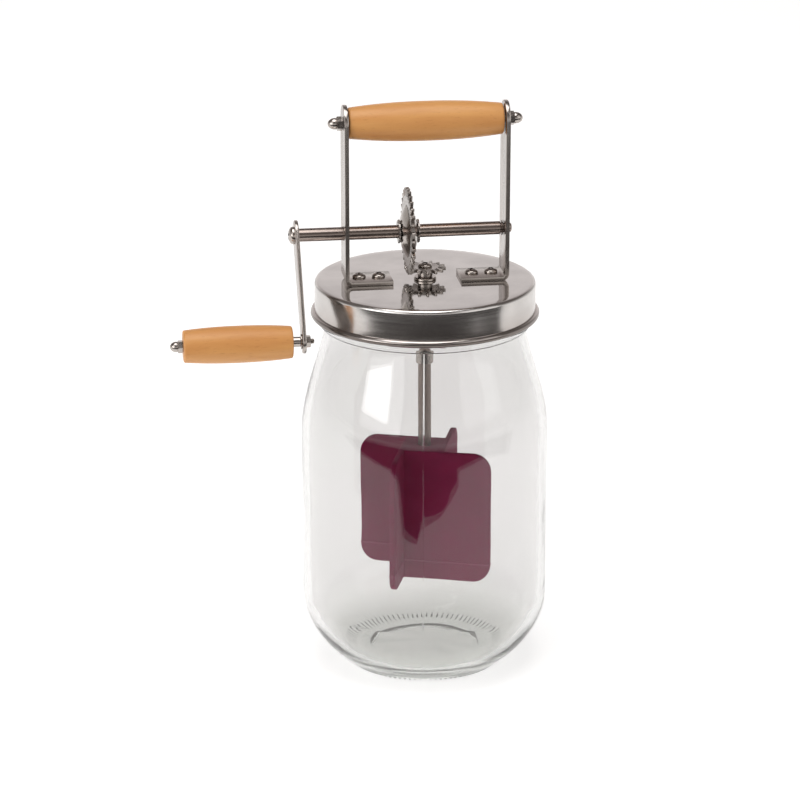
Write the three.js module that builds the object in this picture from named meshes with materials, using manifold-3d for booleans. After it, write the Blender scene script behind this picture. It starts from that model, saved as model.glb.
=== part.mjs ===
// A hand-cranked butter churn: a wide-mouthed glass jar, a steel lid that carries two brackets, a
// gear train and a carry handle, and a silicone dasher that hangs in the jar from the lid.
// Millimetres, +Z up. The jar's axis is the Z axis, the ring that it stands on lies in z = 0, and
// the crank shaft lies along X with the crank at -X.
import * as THREE from "three";
import { mergeVertices } from "three/addons/utils/BufferGeometryUtils.js";
import Module from "manifold-3d";

// ---- Driving dimensions ----

// Clearances
const RUN = 0.25; // radial gap of a piece that turns or slides in another
const SEAT = 0.1; // gap between faces that rest on each other

// Jar
const JAR_RADIUS = 54.8;
const JAR_HEIGHT = 175.4; // standing ring to rim
const JAR_WALL = 3.5;
const JAR_FLOOR = 6.5; // height of the inside floor
const HEEL_RUN = 27.3;
const HEEL_RISE = 31.8;
const HEEL_POWER = 1.67; // how square the heel's curve is
const HEEL_STEPS = 7;
const PUSH_UP = 1.2; // how far the underside stands above the table
const STAND_WIDTH = 3.5; // width of the ring that the jar stands on
const SHOULDER_HEIGHT = 50;
const SHOULDER_WAVE = 0.81; // share of half a cosine wave that the shoulder's curve runs through
const SHOULDER_STEPS = 6;
const RIM_RADIUS = 45.2;
const NECK_INSET = 1.1; // how far the shoulder's top is inside the rim's radius
const FINISH_HEIGHT = 17.5; // the plain neck above the shoulder, with its ring
const NECK_RING = 1.6; // how far the glass ring below the lid stands out
const NECK_RING_HEIGHT = 3.2;
const RIM_ROUND = 1.2;

// Lid and its seal
const LID_SHEET = 0.7;
const SKIRT_GAP = 2.7; // between the lid's skirt and the jar's plain neck, for the thread
const SKIRT_DEPTH = 14.6; // top of the lid to the middle of its curled edge
const LID_EDGE = 1.6; // rounding between top and skirt
const CURL_RADIUS = 1.45;
const CURL_OFFSET = 0.25; // middle of the curl beyond the skirt's outer face
const CURL_FROM = 205; // degrees at which the curl's section begins and ends
const CURL_TO = 455;
const CURL_NECK = 1.8; // middle of the curl to where the skirt runs plain
const SEAL_THICKNESS = 1.6;
const SEAL_WIDTH = 5;

// Brackets, above the lid
const BRACKET_SPREAD = 68.4; // between the two inner faces
const BRACKET_SHEET = 1.8;
const BRACKET_WIDTH = 16;
const BRACKET_HEIGHT = 79;
const BRACKET_BEND = 3; // outer radius of the bend
const FOOT_LENGTH = 21;
const FOOT_SCREW_FIRST = 6.9; // bracket's outer face to its nearer screw
const FOOT_SCREW_PITCH = 8.6;
const SCREW_RADIUS = 1.45;
const SCREW_HEAD_RADIUS = 2.95;
const SCREW_HEAD_HEIGHT = 1.9;
const SCREW_NUT_FLATS = 5.5;
const SCREW_NUT_HEIGHT = 2.4;
const SCREW_END = 1; // thread that stands out below the nut
const HEAD_BRIM = 0.28; // share of a domed head's height below its dome

// Carry handle
const HANDLE_HEIGHT = 71; // above the lid
const HANDLE_ROD_RADIUS = 1.5;
const HANDLE_END_RADIUS = 6.8;
const HANDLE_MID_RADIUS = 8.6;
const HANDLE_END_GAP = 0.5; // between the wooden grip and each bracket
const ACORN_FLATS = 5.5;
const ACORN_HEX = 2.6;
const ACORN_LENGTH = 6.4;
const ACORN_DOME = 0.94; // dome's radius as a share of the nut's half width
const ACORN_ROD = 0.6; // share of an acorn nut's length that its rod fills
const ACORN_BORE = 0.66; // share of its length that is bored
const GRIP_SWELL = 2.2; // how flat a wooden grip's middle is
const GRIP_ROUND = 0.16; // rounding at a grip's ends, as a share of its end radius
const GRIP_STEPS = 6;

// Gear train
const CRANK_HEIGHT = 22; // shaft axis above the lid
const GEAR_TEETH = 32;
const PINION_TEETH = 14;
const GEAR_THICKNESS = 1.6;
const GEAR_ADDENDUM = 2.1;
const GEAR_DEDENDUM = 1.2;
const GEAR_TIP_SHARE = 0.209; // widths of a tooth as shares of the tooth pitch
const GEAR_ROOT_SHARE = 0.389;
const PINION_SHARE = 0.344;
const PINION_THICKNESS = 1.6;
const PINION_LIFT = 4.2; // underside of the pinion's disc above the lid
const PINION_OVERHANG = 1.6; // tooth beyond the pitch circle
const PINION_NECK_RADIUS = 3.3;
const DISH_RADIUS = 11.5;
const DISH_HEIGHT = 2.9;
const DISH_SHEET = 0.9;
const DISH_STEPS = 3;
const STAR_RADIUS = 5.2;
const STAR_THICKNESS = 0.7;
const STAR_NOTCHES = 8;
const NOTCH_DEPTH = 0.94;
const NOTCH_WIDTH = 1.14;
const SHAFT_RADIUS = 2.9;
const SHAFT_DOME = 0.9; // height of the domed end of the spigot
const SPIGOT_RADIUS = 2.1;
const SPIGOT_LENGTH = 4.3;
const COLLAR_RADIUS = 3.3;
const COLLAR_WIDTH = 0.7;

// Crank
const CRANK_THROW = 48;
const CRANK_TURN = -34; // degrees from hanging straight down, towards -Y
const ARM_LID_GAP = 5.5; // lid's curled edge to the crank arm
const ARM_SHEET = 1.6;
const ARM_WIDE = 6.6; // end radius at the shaft
const ARM_NARROW = 5.2; // end radius at the grip
const ARM_SCREW_RADIUS = 1.7;
const ARM_SCREW_DEPTH = 8;
const ARM_SCREW_HEAD_RADIUS = 3.85;
const ARM_SCREW_HEAD_HEIGHT = 2.6;
const GRIP_LENGTH = 47;
const GRIP_END_RADIUS = 7;
const GRIP_MID_RADIUS = 8;
const STUD_RADIUS = 1.2;
const STUD_END = 1.6; // thread that stands out past the hex nut
const SPACER_RADIUS = 2.2;
const SPACER_LENGTH = 3.2;
const WASHER_RADIUS = 3.3;
const WASHER_THICKNESS = 0.5;
const STUD_NUT_FLATS = 4.8;
const STUD_NUT_HEIGHT = 2;
const GRIP_ACORN_FLATS = 5;
const GRIP_ACORN_HEX = 2.2;
const GRIP_ACORN_LENGTH = 5.5;

// Dasher
const DASHER_SHAFT_RADIUS = 2.9;
const DASHER_SPIGOT_RADIUS = 1.9;
const SLEEVE_WALL = 0.75;
const SLEEVE_DROP = 38; // end of the bearing sleeve below the lid's top
const FLANGE_RADIUS = 4.9;
const FLANGE_THICKNESS = 1.2;
const BEARING_NUT_FLATS = 12;
const BEARING_NUT_HEIGHT = 3;
const CAP_SCREW_RADIUS = 1;
const CAP_SCREW_DEPTH = 3;
const CAP_HEAD_RADIUS = 3.05;
const CAP_HEAD_HEIGHT = 2.2;
const PADDLE_FLOOR_GAP = 34.5; // jar's inside floor to the blades
const PADDLE_HEIGHT = 60;
const HUB_SIDE = 20;
const BLADE_REACH = 31.2; // hub's axis to a blade's outer edge
const BLADE_THICKNESS = 2.4;
const BLADE_CORNER = 8;
const PADDLE_TURN = -18.5; // degrees
const SHAFT_IN_HUB = 53;

// ---- Worked out from them ----

const LID_TOP = JAR_HEIGHT + SEAL_THICKNESS + 3 * SEAT + LID_SHEET;
const LID_UNDER = LID_TOP - LID_SHEET;
const LID_RADIUS = RIM_RADIUS + SKIRT_GAP + LID_SHEET;
const CURL_OUTER = LID_RADIUS + CURL_OFFSET + CURL_RADIUS;
const BRACKET_INNER = BRACKET_SPREAD / 2;
const BRACKET_OUTER = BRACKET_INNER + BRACKET_SHEET;
const FOOT_TOP = LID_TOP + SEAT + BRACKET_SHEET;
const HANDLE_Z = LID_TOP + HANDLE_HEIGHT;
const CRANK_Z = LID_TOP + CRANK_HEIGHT;
const PINION_Z = LID_TOP + PINION_LIFT;
const PINION_TOP = PINION_Z + PINION_THICKNESS;
const GEAR_PITCH = CRANK_Z - PINION_Z - PINION_THICKNESS / 2;
const PINION_PITCH = (GEAR_PITCH * PINION_TEETH) / GEAR_TEETH;
const TOOTH_PITCH = (2 * Math.PI * GEAR_PITCH) / GEAR_TEETH;
const GEAR_X = -PINION_PITCH;
const ARM_X = -(CURL_OUTER + ARM_LID_GAP); // inner face of the crank arm
const SPACER_X = ARM_X - ARM_SHEET - 2 * SEAT - WASHER_THICKNESS; // arm's end of the spacer
const GRIP_X = SPACER_X - SPACER_LENGTH - 2 * SEAT; // arm's end of the wooden grip
const SLEEVE_BORE = DASHER_SHAFT_RADIUS + RUN;
const SLEEVE_RADIUS = SLEEVE_BORE + SLEEVE_WALL;
const FLANGE_TOP = LID_TOP + SEAT + FLANGE_THICKNESS;
const SHAFT_SHOULDER = FLANGE_TOP + RUN;
const PADDLE_FOOT = JAR_FLOOR + PADDLE_FLOOR_GAP;
const PADDLE_TOP = PADDLE_FOOT + PADDLE_HEIGHT;

// Number of sides of round pieces, by size
const FINE = 48;
const ROUND = 20;
const SMALL = 12;
const CUT = 1; // how far a cutting tool runs past the face that it cuts

// ---- Materials ----

const metal = (color, roughness) => new THREE.MeshStandardMaterial({ color, roughness, metalness: 1 });
const plain = (color, roughness) => new THREE.MeshStandardMaterial({ color, roughness, metalness: 0 });

const jarGlass = () =>
  new THREE.MeshStandardMaterial({ color: "#e3ece6", roughness: 0.05, transparent: true, opacity: 0.35 });
const polishedSteel = () => metal("#c4c1bf", 0.2);
const platedSteel = () => metal("#b3aeab", 0.3);
const turnedBeech = () => plain("#dba264", 0.55);
const burgundySilicone = () => plain("#701c40", 0.6);
const paleSilicone = () => plain("#e8e6e0", 0.7);

// ---- Shapes ----

const wasm = await Module();
wasm.setup();

const radians = THREE.MathUtils.degToRad;

// A geometry as a manifold solid: its shared vertices merged, only the positions kept.
function solid(geometry) {
  const bare = geometry.clone();
  bare.deleteAttribute("normal");
  bare.deleteAttribute("uv");
  const welded = mergeVertices(bare, 1e-4);
  return new wasm.Manifold(
    new wasm.Mesh({
      numProp: 3,
      vertProperties: welded.attributes.position.array,
      triVerts: new Uint32Array(welded.index.array),
    }),
  );
}

// A manifold solid as a geometry.
function surface(body) {
  const made = body.getMesh();
  const geometry = new THREE.BufferGeometry();
  geometry.setAttribute("position", new THREE.BufferAttribute(made.vertProperties, 3));
  geometry.setIndex(new THREE.BufferAttribute(made.triVerts, 1));
  geometry.computeVertexNormals();
  return geometry;
}

const cut = (body, ...tools) =>
  surface(tools.reduce((left, tool) => left.subtract(solid(tool)), solid(body)));
const join = (...bodies) => surface(bodies.map(solid).reduce((sum, body) => sum.add(body)));
const common = (a, b) => surface(solid(a).intersect(solid(b)));

// [radius, height] points turned round the Z axis, up the outside and down the inside. A profile
// that begins on the axis ends on it, and any other closes on itself.
function turned(profile, sides = ROUND) {
  const points = profile.map(([radius, height]) => new THREE.Vector2(radius, height));
  if (points[0].x > 0) points.push(points[0].clone());
  return new THREE.LatheGeometry(points, sides).rotateX(Math.PI / 2);
}

// A round bar on the Z axis between two heights.
const bar = (radius, from, to, sides = ROUND) =>
  new THREE.CylinderGeometry(radius, radius, to - from, sides)
    .rotateX(Math.PI / 2)
    .translate(0, 0, (from + to) / 2);

// A tube on the Z axis between two heights, with its bore clear of a bar of the inner radius.
const tube = (inner, outer, from, to, sides = ROUND) =>
  turned([[bore(inner, sides), from], [outer, from], [outer, to], [bore(inner, sides), to]], sides);

// The corner radius of a many-sided bore whose flats are a given distance from its axis.
const bore = (radius, sides = ROUND) => radius / Math.cos(Math.PI / sides);

// A hexagon on the Z axis with two flats facing +Y and -Y.
const hexagon = (flats, from, to) => bar(bore(flats / 2, 6), from, to, 6).rotateZ(Math.PI / 6);

// A hex nut with a plain hole.
const hexNut = (flats, height, hole) =>
  cut(hexagon(flats, 0, height), bar(bore(hole + RUN, SMALL), -CUT, height + CUT, SMALL));

// A flat outline drawn in X and Y, thickened upwards from z = 0.
const plate = (shape, depth, curveSegments = 8) =>
  new THREE.ExtrudeGeometry(shape, { depth, bevelEnabled: false, curveSegments });

// A plate stood up: its X becomes Y, its Y becomes Z, and its thickness runs along +X.
const standUp = (geometry) => geometry.rotateX(Math.PI / 2).rotateZ(Math.PI / 2);

// Points on an elliptical arc about (x, y), from one angle to another.
function arc(x, y, radiusX, radiusY, fromDegrees, toDegrees, steps) {
  return Array.from({ length: steps + 1 }, (_, i) => {
    const angle = radians(fromDegrees + ((toDegrees - fromDegrees) * i) / steps);
    return [x + radiusX * Math.cos(angle), y + radiusY * Math.sin(angle)];
  });
}

// A flat disc with trapezoid teeth, each centred on a multiple of the tooth angle.
function toothedDisc(teeth, root, tip, rootWidth, tipWidth, thickness) {
  const shape = new THREE.Shape();
  for (let tooth = 0; tooth < teeth; tooth++) {
    const middle = (tooth * 2 * Math.PI) / teeth;
    const corners = [[root, -rootWidth], [tip, -tipWidth], [tip, tipWidth], [root, rootWidth]];
    corners.forEach(([radius, width], i) => {
      const angle = middle + Math.asin(width / 2 / radius);
      const step = tooth || i ? "lineTo" : "moveTo";
      shape[step](radius * Math.cos(angle), radius * Math.sin(angle));
    });
  }
  shape.closePath();
  return plate(shape, thickness);
}

// A domed screw on the Z axis: its shank ends at -length, and its head stands on z = 0.
function domedScrew(radius, length, headRadius, headHeight) {
  const brim = headHeight * HEAD_BRIM;
  const dome = arc(0, brim, headRadius, headHeight - brim, 0, 90, 3);
  dome[dome.length - 1][0] = 0;
  return turned([[0, -length], [radius, -length], [radius, 0], [headRadius, 0], ...dome], SMALL);
}

// An acorn nut on the Z axis, seated on z = 0, with a blind hole for a rod of the given radius.
function acornNut(flats, hexHeight, length, rodRadius) {
  const radius = (flats / 2) * ACORN_DOME;
  const sunk = hexHeight / 4; // the dome's foot is inside the hexagon
  const dome = arc(0, hexHeight, radius, length - hexHeight, 0, 90, 4);
  dome[dome.length - 1][0] = 0;
  const body = join(hexagon(flats, 0, hexHeight), turned([[0, sunk], [radius, sunk], ...dome], SMALL));
  return cut(body, bar(bore(rodRadius + RUN, SMALL), -CUT, length * ACORN_BORE, SMALL));
}

// A turned wooden barrel on the Z axis from z = 0, bored through for a rod.
function barrel(length, endRadius, midRadius, rodRadius) {
  const inner = bore(rodRadius + RUN, ROUND);
  const round = endRadius * GRIP_ROUND;
  const side = Array.from({ length: GRIP_STEPS + 1 }, (_, i) => {
    const along = i / GRIP_STEPS;
    const bulge = 1 - Math.abs(2 * along - 1) ** GRIP_SWELL;
    return [endRadius + (midRadius - endRadius) * bulge, round + (length - 2 * round) * along];
  });
  return turned([[inner, 0], [endRadius - round, 0], ...side, [endRadius - round, length], [inner, length]]);
}

// ---- Jar, lid and seal ----

// Radius and height along the outside of the jar, or a wall's thickness inside it.
function heel(inset, floor) {
  const flat = JAR_RADIUS - HEEL_RUN;
  const run = HEEL_RUN - inset;
  return Array.from({ length: HEEL_STEPS + 1 }, (_, i) => {
    const angle = ((i / HEEL_STEPS) * Math.PI) / 2;
    const out = Math.sin(angle) ** (2 / HEEL_POWER);
    const up = 1 - Math.max(0, Math.cos(angle)) ** (2 / HEEL_POWER);
    return [flat + run * out, floor + (HEEL_RISE - floor) * up];
  });
}

function shoulder(inset) {
  const start = JAR_HEIGHT - FINISH_HEIGHT - SHOULDER_HEIGHT;
  const wave = (share) => 1 - Math.cos(Math.PI * SHOULDER_WAVE * share);
  const drop = JAR_RADIUS - RIM_RADIUS + NECK_INSET;
  return Array.from({ length: SHOULDER_STEPS + 1 }, (_, i) => [
    JAR_RADIUS - inset - (drop * wave(i / SHOULDER_STEPS)) / wave(1),
    start + (SHOULDER_HEIGHT * i) / SHOULDER_STEPS,
  ]);
}

function glassJar() {
  const flat = JAR_RADIUS - HEEL_RUN;
  const neckZ = JAR_HEIGHT - FINISH_HEIGHT;
  const ring = arc(RIM_RADIUS, neckZ + NECK_RING_HEIGHT / 2, NECK_RING, NECK_RING_HEIGHT / 2, -90, 90, 3);
  const throat = shoulder(JAR_WALL).at(-1)[0];
  return turned(
    [
      [0, PUSH_UP],
      [flat - STAND_WIDTH - 2 * PUSH_UP, PUSH_UP],
      [flat - STAND_WIDTH, 0],
      ...heel(0, 0),
      ...shoulder(0),
      ...ring,
      [RIM_RADIUS, JAR_HEIGHT - RIM_ROUND],
      [RIM_RADIUS - RIM_ROUND, JAR_HEIGHT],
      [throat + RIM_ROUND, JAR_HEIGHT],
      [throat, JAR_HEIGHT - RIM_ROUND],
      ...shoulder(JAR_WALL).reverse(),
      ...heel(JAR_WALL, JAR_FLOOR).reverse(),
      [0, JAR_FLOOR],
    ],
    FINE,
  );
}

function sealRing() {
  const outer = RIM_RADIUS;
  return turned(
    [[outer - SEAL_WIDTH, 0], [outer, 0], [outer, SEAL_THICKNESS], [outer - SEAL_WIDTH, SEAL_THICKNESS]],
    FINE,
  );
}

const screwPlaces = [0, 1].map((i) => BRACKET_OUTER - FOOT_SCREW_FIRST - i * FOOT_SCREW_PITCH);

// A drawn steel cap: flat top, rounded edge, plain skirt and a curled lower edge.
function lidShell() {
  const hole = bore(SLEEVE_RADIUS + RUN, FINE);
  const curlZ = LID_TOP - SKIRT_DEPTH;
  const inner = LID_RADIUS - LID_SHEET;
  const curl = arc(LID_RADIUS + CURL_OFFSET, curlZ, CURL_RADIUS, CURL_RADIUS, CURL_FROM, CURL_TO, 7);
  const outside = arc(LID_RADIUS - LID_EDGE, LID_TOP - LID_EDGE, LID_EDGE, LID_EDGE, 0, 90, 3);
  const edge = LID_EDGE - LID_SHEET;
  const inside = arc(inner - edge, LID_UNDER - edge, edge, edge, 90, 0, 2);
  const shell = turned(
    [
      ...curl,
      [LID_RADIUS, curlZ + CURL_NECK],
      ...outside,
      [hole, LID_TOP],
      [hole, LID_UNDER],
      ...inside,
      [inner, curlZ + CURL_NECK],
    ],
    FINE,
  );
  const holes = [-1, 1].flatMap((side) =>
    screwPlaces.map((x) =>
      bar(bore(SCREW_RADIUS + RUN, SMALL), LID_UNDER - CUT, LID_TOP + CUT, SMALL).translate(side * x, 0, 0),
    ),
  );
  return cut(shell, ...holes);
}

// ---- Brackets ----

// The right-hand bracket: an upright strip bent inwards into a foot, with a round top.
function bracket(shaftHole) {
  const base = LID_TOP + SEAT;
  const height = BRACKET_HEIGHT - SEAT;
  const inner = BRACKET_BEND - BRACKET_SHEET;
  const section = new THREE.Shape();
  section.moveTo(BRACKET_OUTER - FOOT_LENGTH, 0);
  section.lineTo(BRACKET_OUTER - BRACKET_BEND, 0);
  section.absarc(BRACKET_OUTER - BRACKET_BEND, BRACKET_BEND, BRACKET_BEND, -Math.PI / 2, 0, false);
  section.lineTo(BRACKET_OUTER, height);
  section.lineTo(BRACKET_INNER, height);
  section.lineTo(BRACKET_INNER, BRACKET_BEND);
  section.absarc(BRACKET_OUTER - BRACKET_BEND, BRACKET_BEND, inner, 0, -Math.PI / 2, true);
  section.lineTo(BRACKET_OUTER - FOOT_LENGTH, BRACKET_SHEET);
  section.closePath();
  const half = BRACKET_WIDTH / 2;
  const strip = plate(section, BRACKET_WIDTH, 5)
    .rotateX(Math.PI / 2)
    .translate(0, half, base);
  const front = new THREE.Shape();
  front.moveTo(-half, -CUT);
  front.lineTo(half, -CUT);
  front.lineTo(half, height - half);
  front.absarc(0, height - half, half, 0, Math.PI, false);
  front.closePath();
  const outline = standUp(plate(front, BRACKET_OUTER * 2, 16)).translate(-CUT, 0, base);
  const across = (radius, z) =>
    bar(bore(radius + RUN), 0, BRACKET_OUTER + CUT).rotateY(Math.PI / 2).translate(0, 0, z);
  const down = screwPlaces.map((x) =>
    bar(bore(SCREW_RADIUS + RUN, SMALL), LID_TOP - CUT, FOOT_TOP + CUT, SMALL).translate(x, 0, 0),
  );
  const through = [across(HANDLE_ROD_RADIUS, HANDLE_Z), across(shaftHole, CRANK_Z)];
  return cut(common(strip, outline), ...through, ...down);
}

// ---- Gear train ----

// Pieces on the crank shaft are drawn on the Z axis and laid along X.
const alongX = (geometry) => geometry.rotateY(Math.PI / 2);
const againstX = (geometry) => geometry.rotateY(-Math.PI / 2);

function crankShaft() {
  const shoulderX = BRACKET_INNER - 2 * SEAT;
  const tip = shoulderX + SPIGOT_LENGTH;
  const dome = arc(0, tip - SHAFT_DOME, SPIGOT_RADIUS, SHAFT_DOME, 0, 90, 3);
  dome[dome.length - 1][0] = 0;
  const rod = turned([
    [0, ARM_X + SEAT],
    [SHAFT_RADIUS, ARM_X + SEAT],
    [SHAFT_RADIUS, shoulderX - COLLAR_WIDTH],
    [SPIGOT_RADIUS, shoulderX - COLLAR_WIDTH],
    ...dome,
  ]);
  const tapped = bar(bore(ARM_SCREW_RADIUS + RUN, SMALL), ARM_X - CUT, ARM_X + ARM_SCREW_DEPTH, SMALL);
  return alongX(cut(rod, tapped));
}

function driveGear() {
  const disc = toothedDisc(
    GEAR_TEETH,
    GEAR_PITCH - GEAR_DEDENDUM,
    GEAR_PITCH + GEAR_ADDENDUM,
    GEAR_ROOT_SHARE * TOOTH_PITCH,
    GEAR_TIP_SHARE * TOOTH_PITCH,
    GEAR_THICKNESS,
  );
  const hole = bar(bore(SHAFT_RADIUS + SEAT), -CUT, GEAR_THICKNESS + CUT);
  return alongX(cut(disc, hole).translate(0, 0, -GEAR_THICKNESS / 2));
}

// A domed sheet that stiffens one side of the gear, with its rim on z = 0.
function gearDish() {
  const hole = bore(SHAFT_RADIUS + SEAT);
  const dome = (radius, height) =>
    Array.from({ length: DISH_STEPS + 1 }, (_, i) => {
      const r = radius + ((hole - radius) * i) / DISH_STEPS;
      return [r, height * (1 - (r / radius) ** 2)];
    });
  const outer = dome(DISH_RADIUS, DISH_HEIGHT);
  const inner = dome(DISH_RADIUS - 2 * DISH_SHEET, DISH_HEIGHT - DISH_SHEET).reverse();
  return turned([...outer, ...inner]);
}

// A thin notched washer that grips the shaft and holds a dish against the gear.
function starWasher() {
  const notches = Array.from({ length: STAR_NOTCHES }, (_, i) =>
    new THREE.BoxGeometry(2 * NOTCH_DEPTH, NOTCH_WIDTH, STAR_THICKNESS + 2 * CUT)
      .translate(STAR_RADIUS, 0, STAR_THICKNESS / 2)
      .rotateZ(((i + 0.5) * 2 * Math.PI) / STAR_NOTCHES),
  );
  return cut(tube(SHAFT_RADIUS + SEAT, STAR_RADIUS, 0, STAR_THICKNESS), ...notches);
}

function pinionGear() {
  const disc = toothedDisc(
    PINION_TEETH,
    PINION_PITCH - GEAR_THICKNESS / 2 - 2 * RUN,
    PINION_PITCH + PINION_OVERHANG,
    PINION_SHARE * TOOTH_PITCH,
    PINION_SHARE * TOOTH_PITCH,
    PINION_THICKNESS,
  ).rotateZ(Math.PI + Math.PI / PINION_TEETH); // a gap faces the drive gear
  const neck = bar(PINION_NECK_RADIUS, SHAFT_SHOULDER + SEAT - PINION_Z, PINION_THICKNESS / 2);
  return cut(join(disc, neck), bar(bore(DASHER_SPIGOT_RADIUS + SEAT), -PINION_LIFT, PINION_THICKNESS + CUT));
}

// ---- Crank ----

// The flat arm hangs from the shaft's axis along -Z, its thickness along +X, round at both ends.
function crankArm() {
  const lean = Math.asin((ARM_WIDE - ARM_NARROW) / CRANK_THROW);
  const shape = new THREE.Shape();
  shape.absarc(0, 0, ARM_WIDE, -lean, Math.PI + lean, false);
  shape.absarc(0, -CRANK_THROW, ARM_NARROW, Math.PI + lean, 2 * Math.PI - lean, false);
  shape.closePath();
  const hole = (radius, y) => bar(bore(radius + RUN, SMALL), -CUT, ARM_SHEET + CUT, SMALL).translate(0, y, 0);
  const blank = plate(shape, ARM_SHEET, 10);
  return standUp(cut(blank, hole(ARM_SCREW_RADIUS, 0), hole(STUD_RADIUS, -CRANK_THROW)));
}

// ---- Dasher ----

function dasherShaft() {
  const foot = PADDLE_TOP - SHAFT_IN_HUB;
  const top = PINION_TOP - SEAT;
  const rod = turned([
    [0, foot],
    [DASHER_SHAFT_RADIUS, foot],
    [DASHER_SHAFT_RADIUS, SHAFT_SHOULDER],
    [DASHER_SPIGOT_RADIUS, SHAFT_SHOULDER],
    [DASHER_SPIGOT_RADIUS, top],
    [0, top],
  ]);
  return cut(rod, bar(bore(CAP_SCREW_RADIUS + SEAT, SMALL), top - CAP_SCREW_DEPTH, top + CUT, SMALL));
}

// The flanged bearing that hangs from the lid and guides the dasher's shaft.
function bearingSleeve() {
  const inner = bore(SLEEVE_BORE);
  const foot = LID_TOP - SLEEVE_DROP;
  return turned([
    [inner, foot],
    [SLEEVE_RADIUS, foot],
    [SLEEVE_RADIUS, LID_TOP + SEAT],
    [FLANGE_RADIUS, LID_TOP + SEAT],
    [FLANGE_RADIUS, FLANGE_TOP],
    [inner, FLANGE_TOP],
  ]);
}

// Four blades that run on from the walls of a square hub, like a pinwheel.
function paddle() {
  const half = HUB_SIDE / 2;
  const cornerX = BLADE_REACH - BLADE_CORNER;
  const outline = new THREE.Shape();
  outline.moveTo(-half, 0);
  outline.lineTo(cornerX, 0);
  outline.absarc(cornerX, BLADE_CORNER, BLADE_CORNER, -Math.PI / 2, 0, false);
  outline.absarc(cornerX, PADDLE_HEIGHT - BLADE_CORNER, BLADE_CORNER, 0, Math.PI / 2, false);
  outline.lineTo(-half, PADDLE_HEIGHT);
  outline.closePath();
  const blade = plate(outline, BLADE_THICKNESS).rotateX(Math.PI / 2).translate(0, BLADE_THICKNESS - half, 0);
  const blades = [0, 1, 2, 3].map((i) => blade.clone().rotateZ((i * Math.PI) / 2));
  const hub = new THREE.BoxGeometry(HUB_SIDE, HUB_SIDE, PADDLE_HEIGHT).translate(0, 0, PADDLE_HEIGHT / 2);
  const socket = bar(
    bore(DASHER_SHAFT_RADIUS + SEAT),
    PADDLE_HEIGHT - SHAFT_IN_HUB - 2 * SEAT,
    PADDLE_HEIGHT + CUT,
  );
  return cut(join(hub, ...blades), socket);
}

// ---- Assembly ----

const churn = new THREE.Group();

function add(parent, name, geometry, material, x = 0, y = 0, z = 0) {
  const mesh = new THREE.Mesh(geometry, material);
  mesh.name = name;
  mesh.position.set(x, y, z);
  parent.add(mesh);
  return mesh;
}

add(churn, "glass_jar", glassJar(), jarGlass());
add(churn, "lid_seal", sealRing(), paleSilicone(), 0, 0, JAR_HEIGHT + SEAT);
add(churn, "lid", lidShell(), polishedSteel());

add(churn, "right_bracket", bracket(SPIGOT_RADIUS), platedSteel());
add(churn, "left_bracket", bracket(SHAFT_RADIUS).rotateZ(Math.PI), platedSteel());
for (const [side, sign] of [["left", -1], ["right", 1]]) {
  screwPlaces.forEach((place, i) => {
    const at = `${side}_${i ? "inner" : "outer"}`;
    const length = FOOT_TOP - LID_UNDER + SEAT + SCREW_NUT_HEIGHT + SCREW_END;
    const screw = domedScrew(SCREW_RADIUS, length, SCREW_HEAD_RADIUS, SCREW_HEAD_HEIGHT);
    add(churn, `${at}_bracket_screw`, screw, platedSteel(), sign * place, 0, FOOT_TOP + SEAT);
    const nut = hexNut(SCREW_NUT_FLATS, SCREW_NUT_HEIGHT, SCREW_RADIUS);
    add(churn, `${at}_bracket_nut`, nut, platedSteel(), sign * place, 0, LID_UNDER - SEAT - SCREW_NUT_HEIGHT);
  });
}

const handleLength = BRACKET_SPREAD - 2 * HANDLE_END_GAP;
const handleRodEnd = BRACKET_OUTER + ACORN_LENGTH * ACORN_ROD;
const carryGrip = alongX(barrel(handleLength, HANDLE_END_RADIUS, HANDLE_MID_RADIUS, HANDLE_ROD_RADIUS));
const carryRod = alongX(bar(HANDLE_ROD_RADIUS, -handleRodEnd, handleRodEnd, SMALL));
add(churn, "carry_grip", carryGrip, turnedBeech(), -handleLength / 2, 0, HANDLE_Z);
add(churn, "carry_rod", carryRod, platedSteel(), 0, 0, HANDLE_Z);
for (const [side, sign, lay] of [["left", -1, againstX], ["right", 1, alongX]]) {
  const nut = lay(acornNut(ACORN_FLATS, ACORN_HEX, ACORN_LENGTH, HANDLE_ROD_RADIUS));
  add(churn, `${side}_carry_acorn_nut`, nut, platedSteel(), sign * (BRACKET_OUTER + SEAT), 0, HANDLE_Z);
}

add(churn, "crank_shaft", crankShaft(), platedSteel(), 0, 0, CRANK_Z);
const collar = alongX(tube(SPIGOT_RADIUS + SEAT, COLLAR_RADIUS, 0, COLLAR_WIDTH - 2 * SEAT));
add(churn, "shaft_collar", collar, platedSteel(), BRACKET_INNER - SEAT - COLLAR_WIDTH, 0, CRANK_Z);
add(churn, "drive_gear", driveGear(), platedSteel(), GEAR_X, 0, CRANK_Z);
for (const [side, sign, lay] of [["left", -1, againstX], ["right", 1, alongX]]) {
  const dishX = GEAR_X + sign * (GEAR_THICKNESS / 2 + SEAT);
  add(churn, `${side}_gear_dish`, lay(gearDish()), platedSteel(), dishX, 0, CRANK_Z);
  const starX = dishX + sign * (DISH_HEIGHT + SEAT);
  add(churn, `${side}_star_washer`, lay(starWasher()), platedSteel(), starX, 0, CRANK_Z);
}

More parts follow.
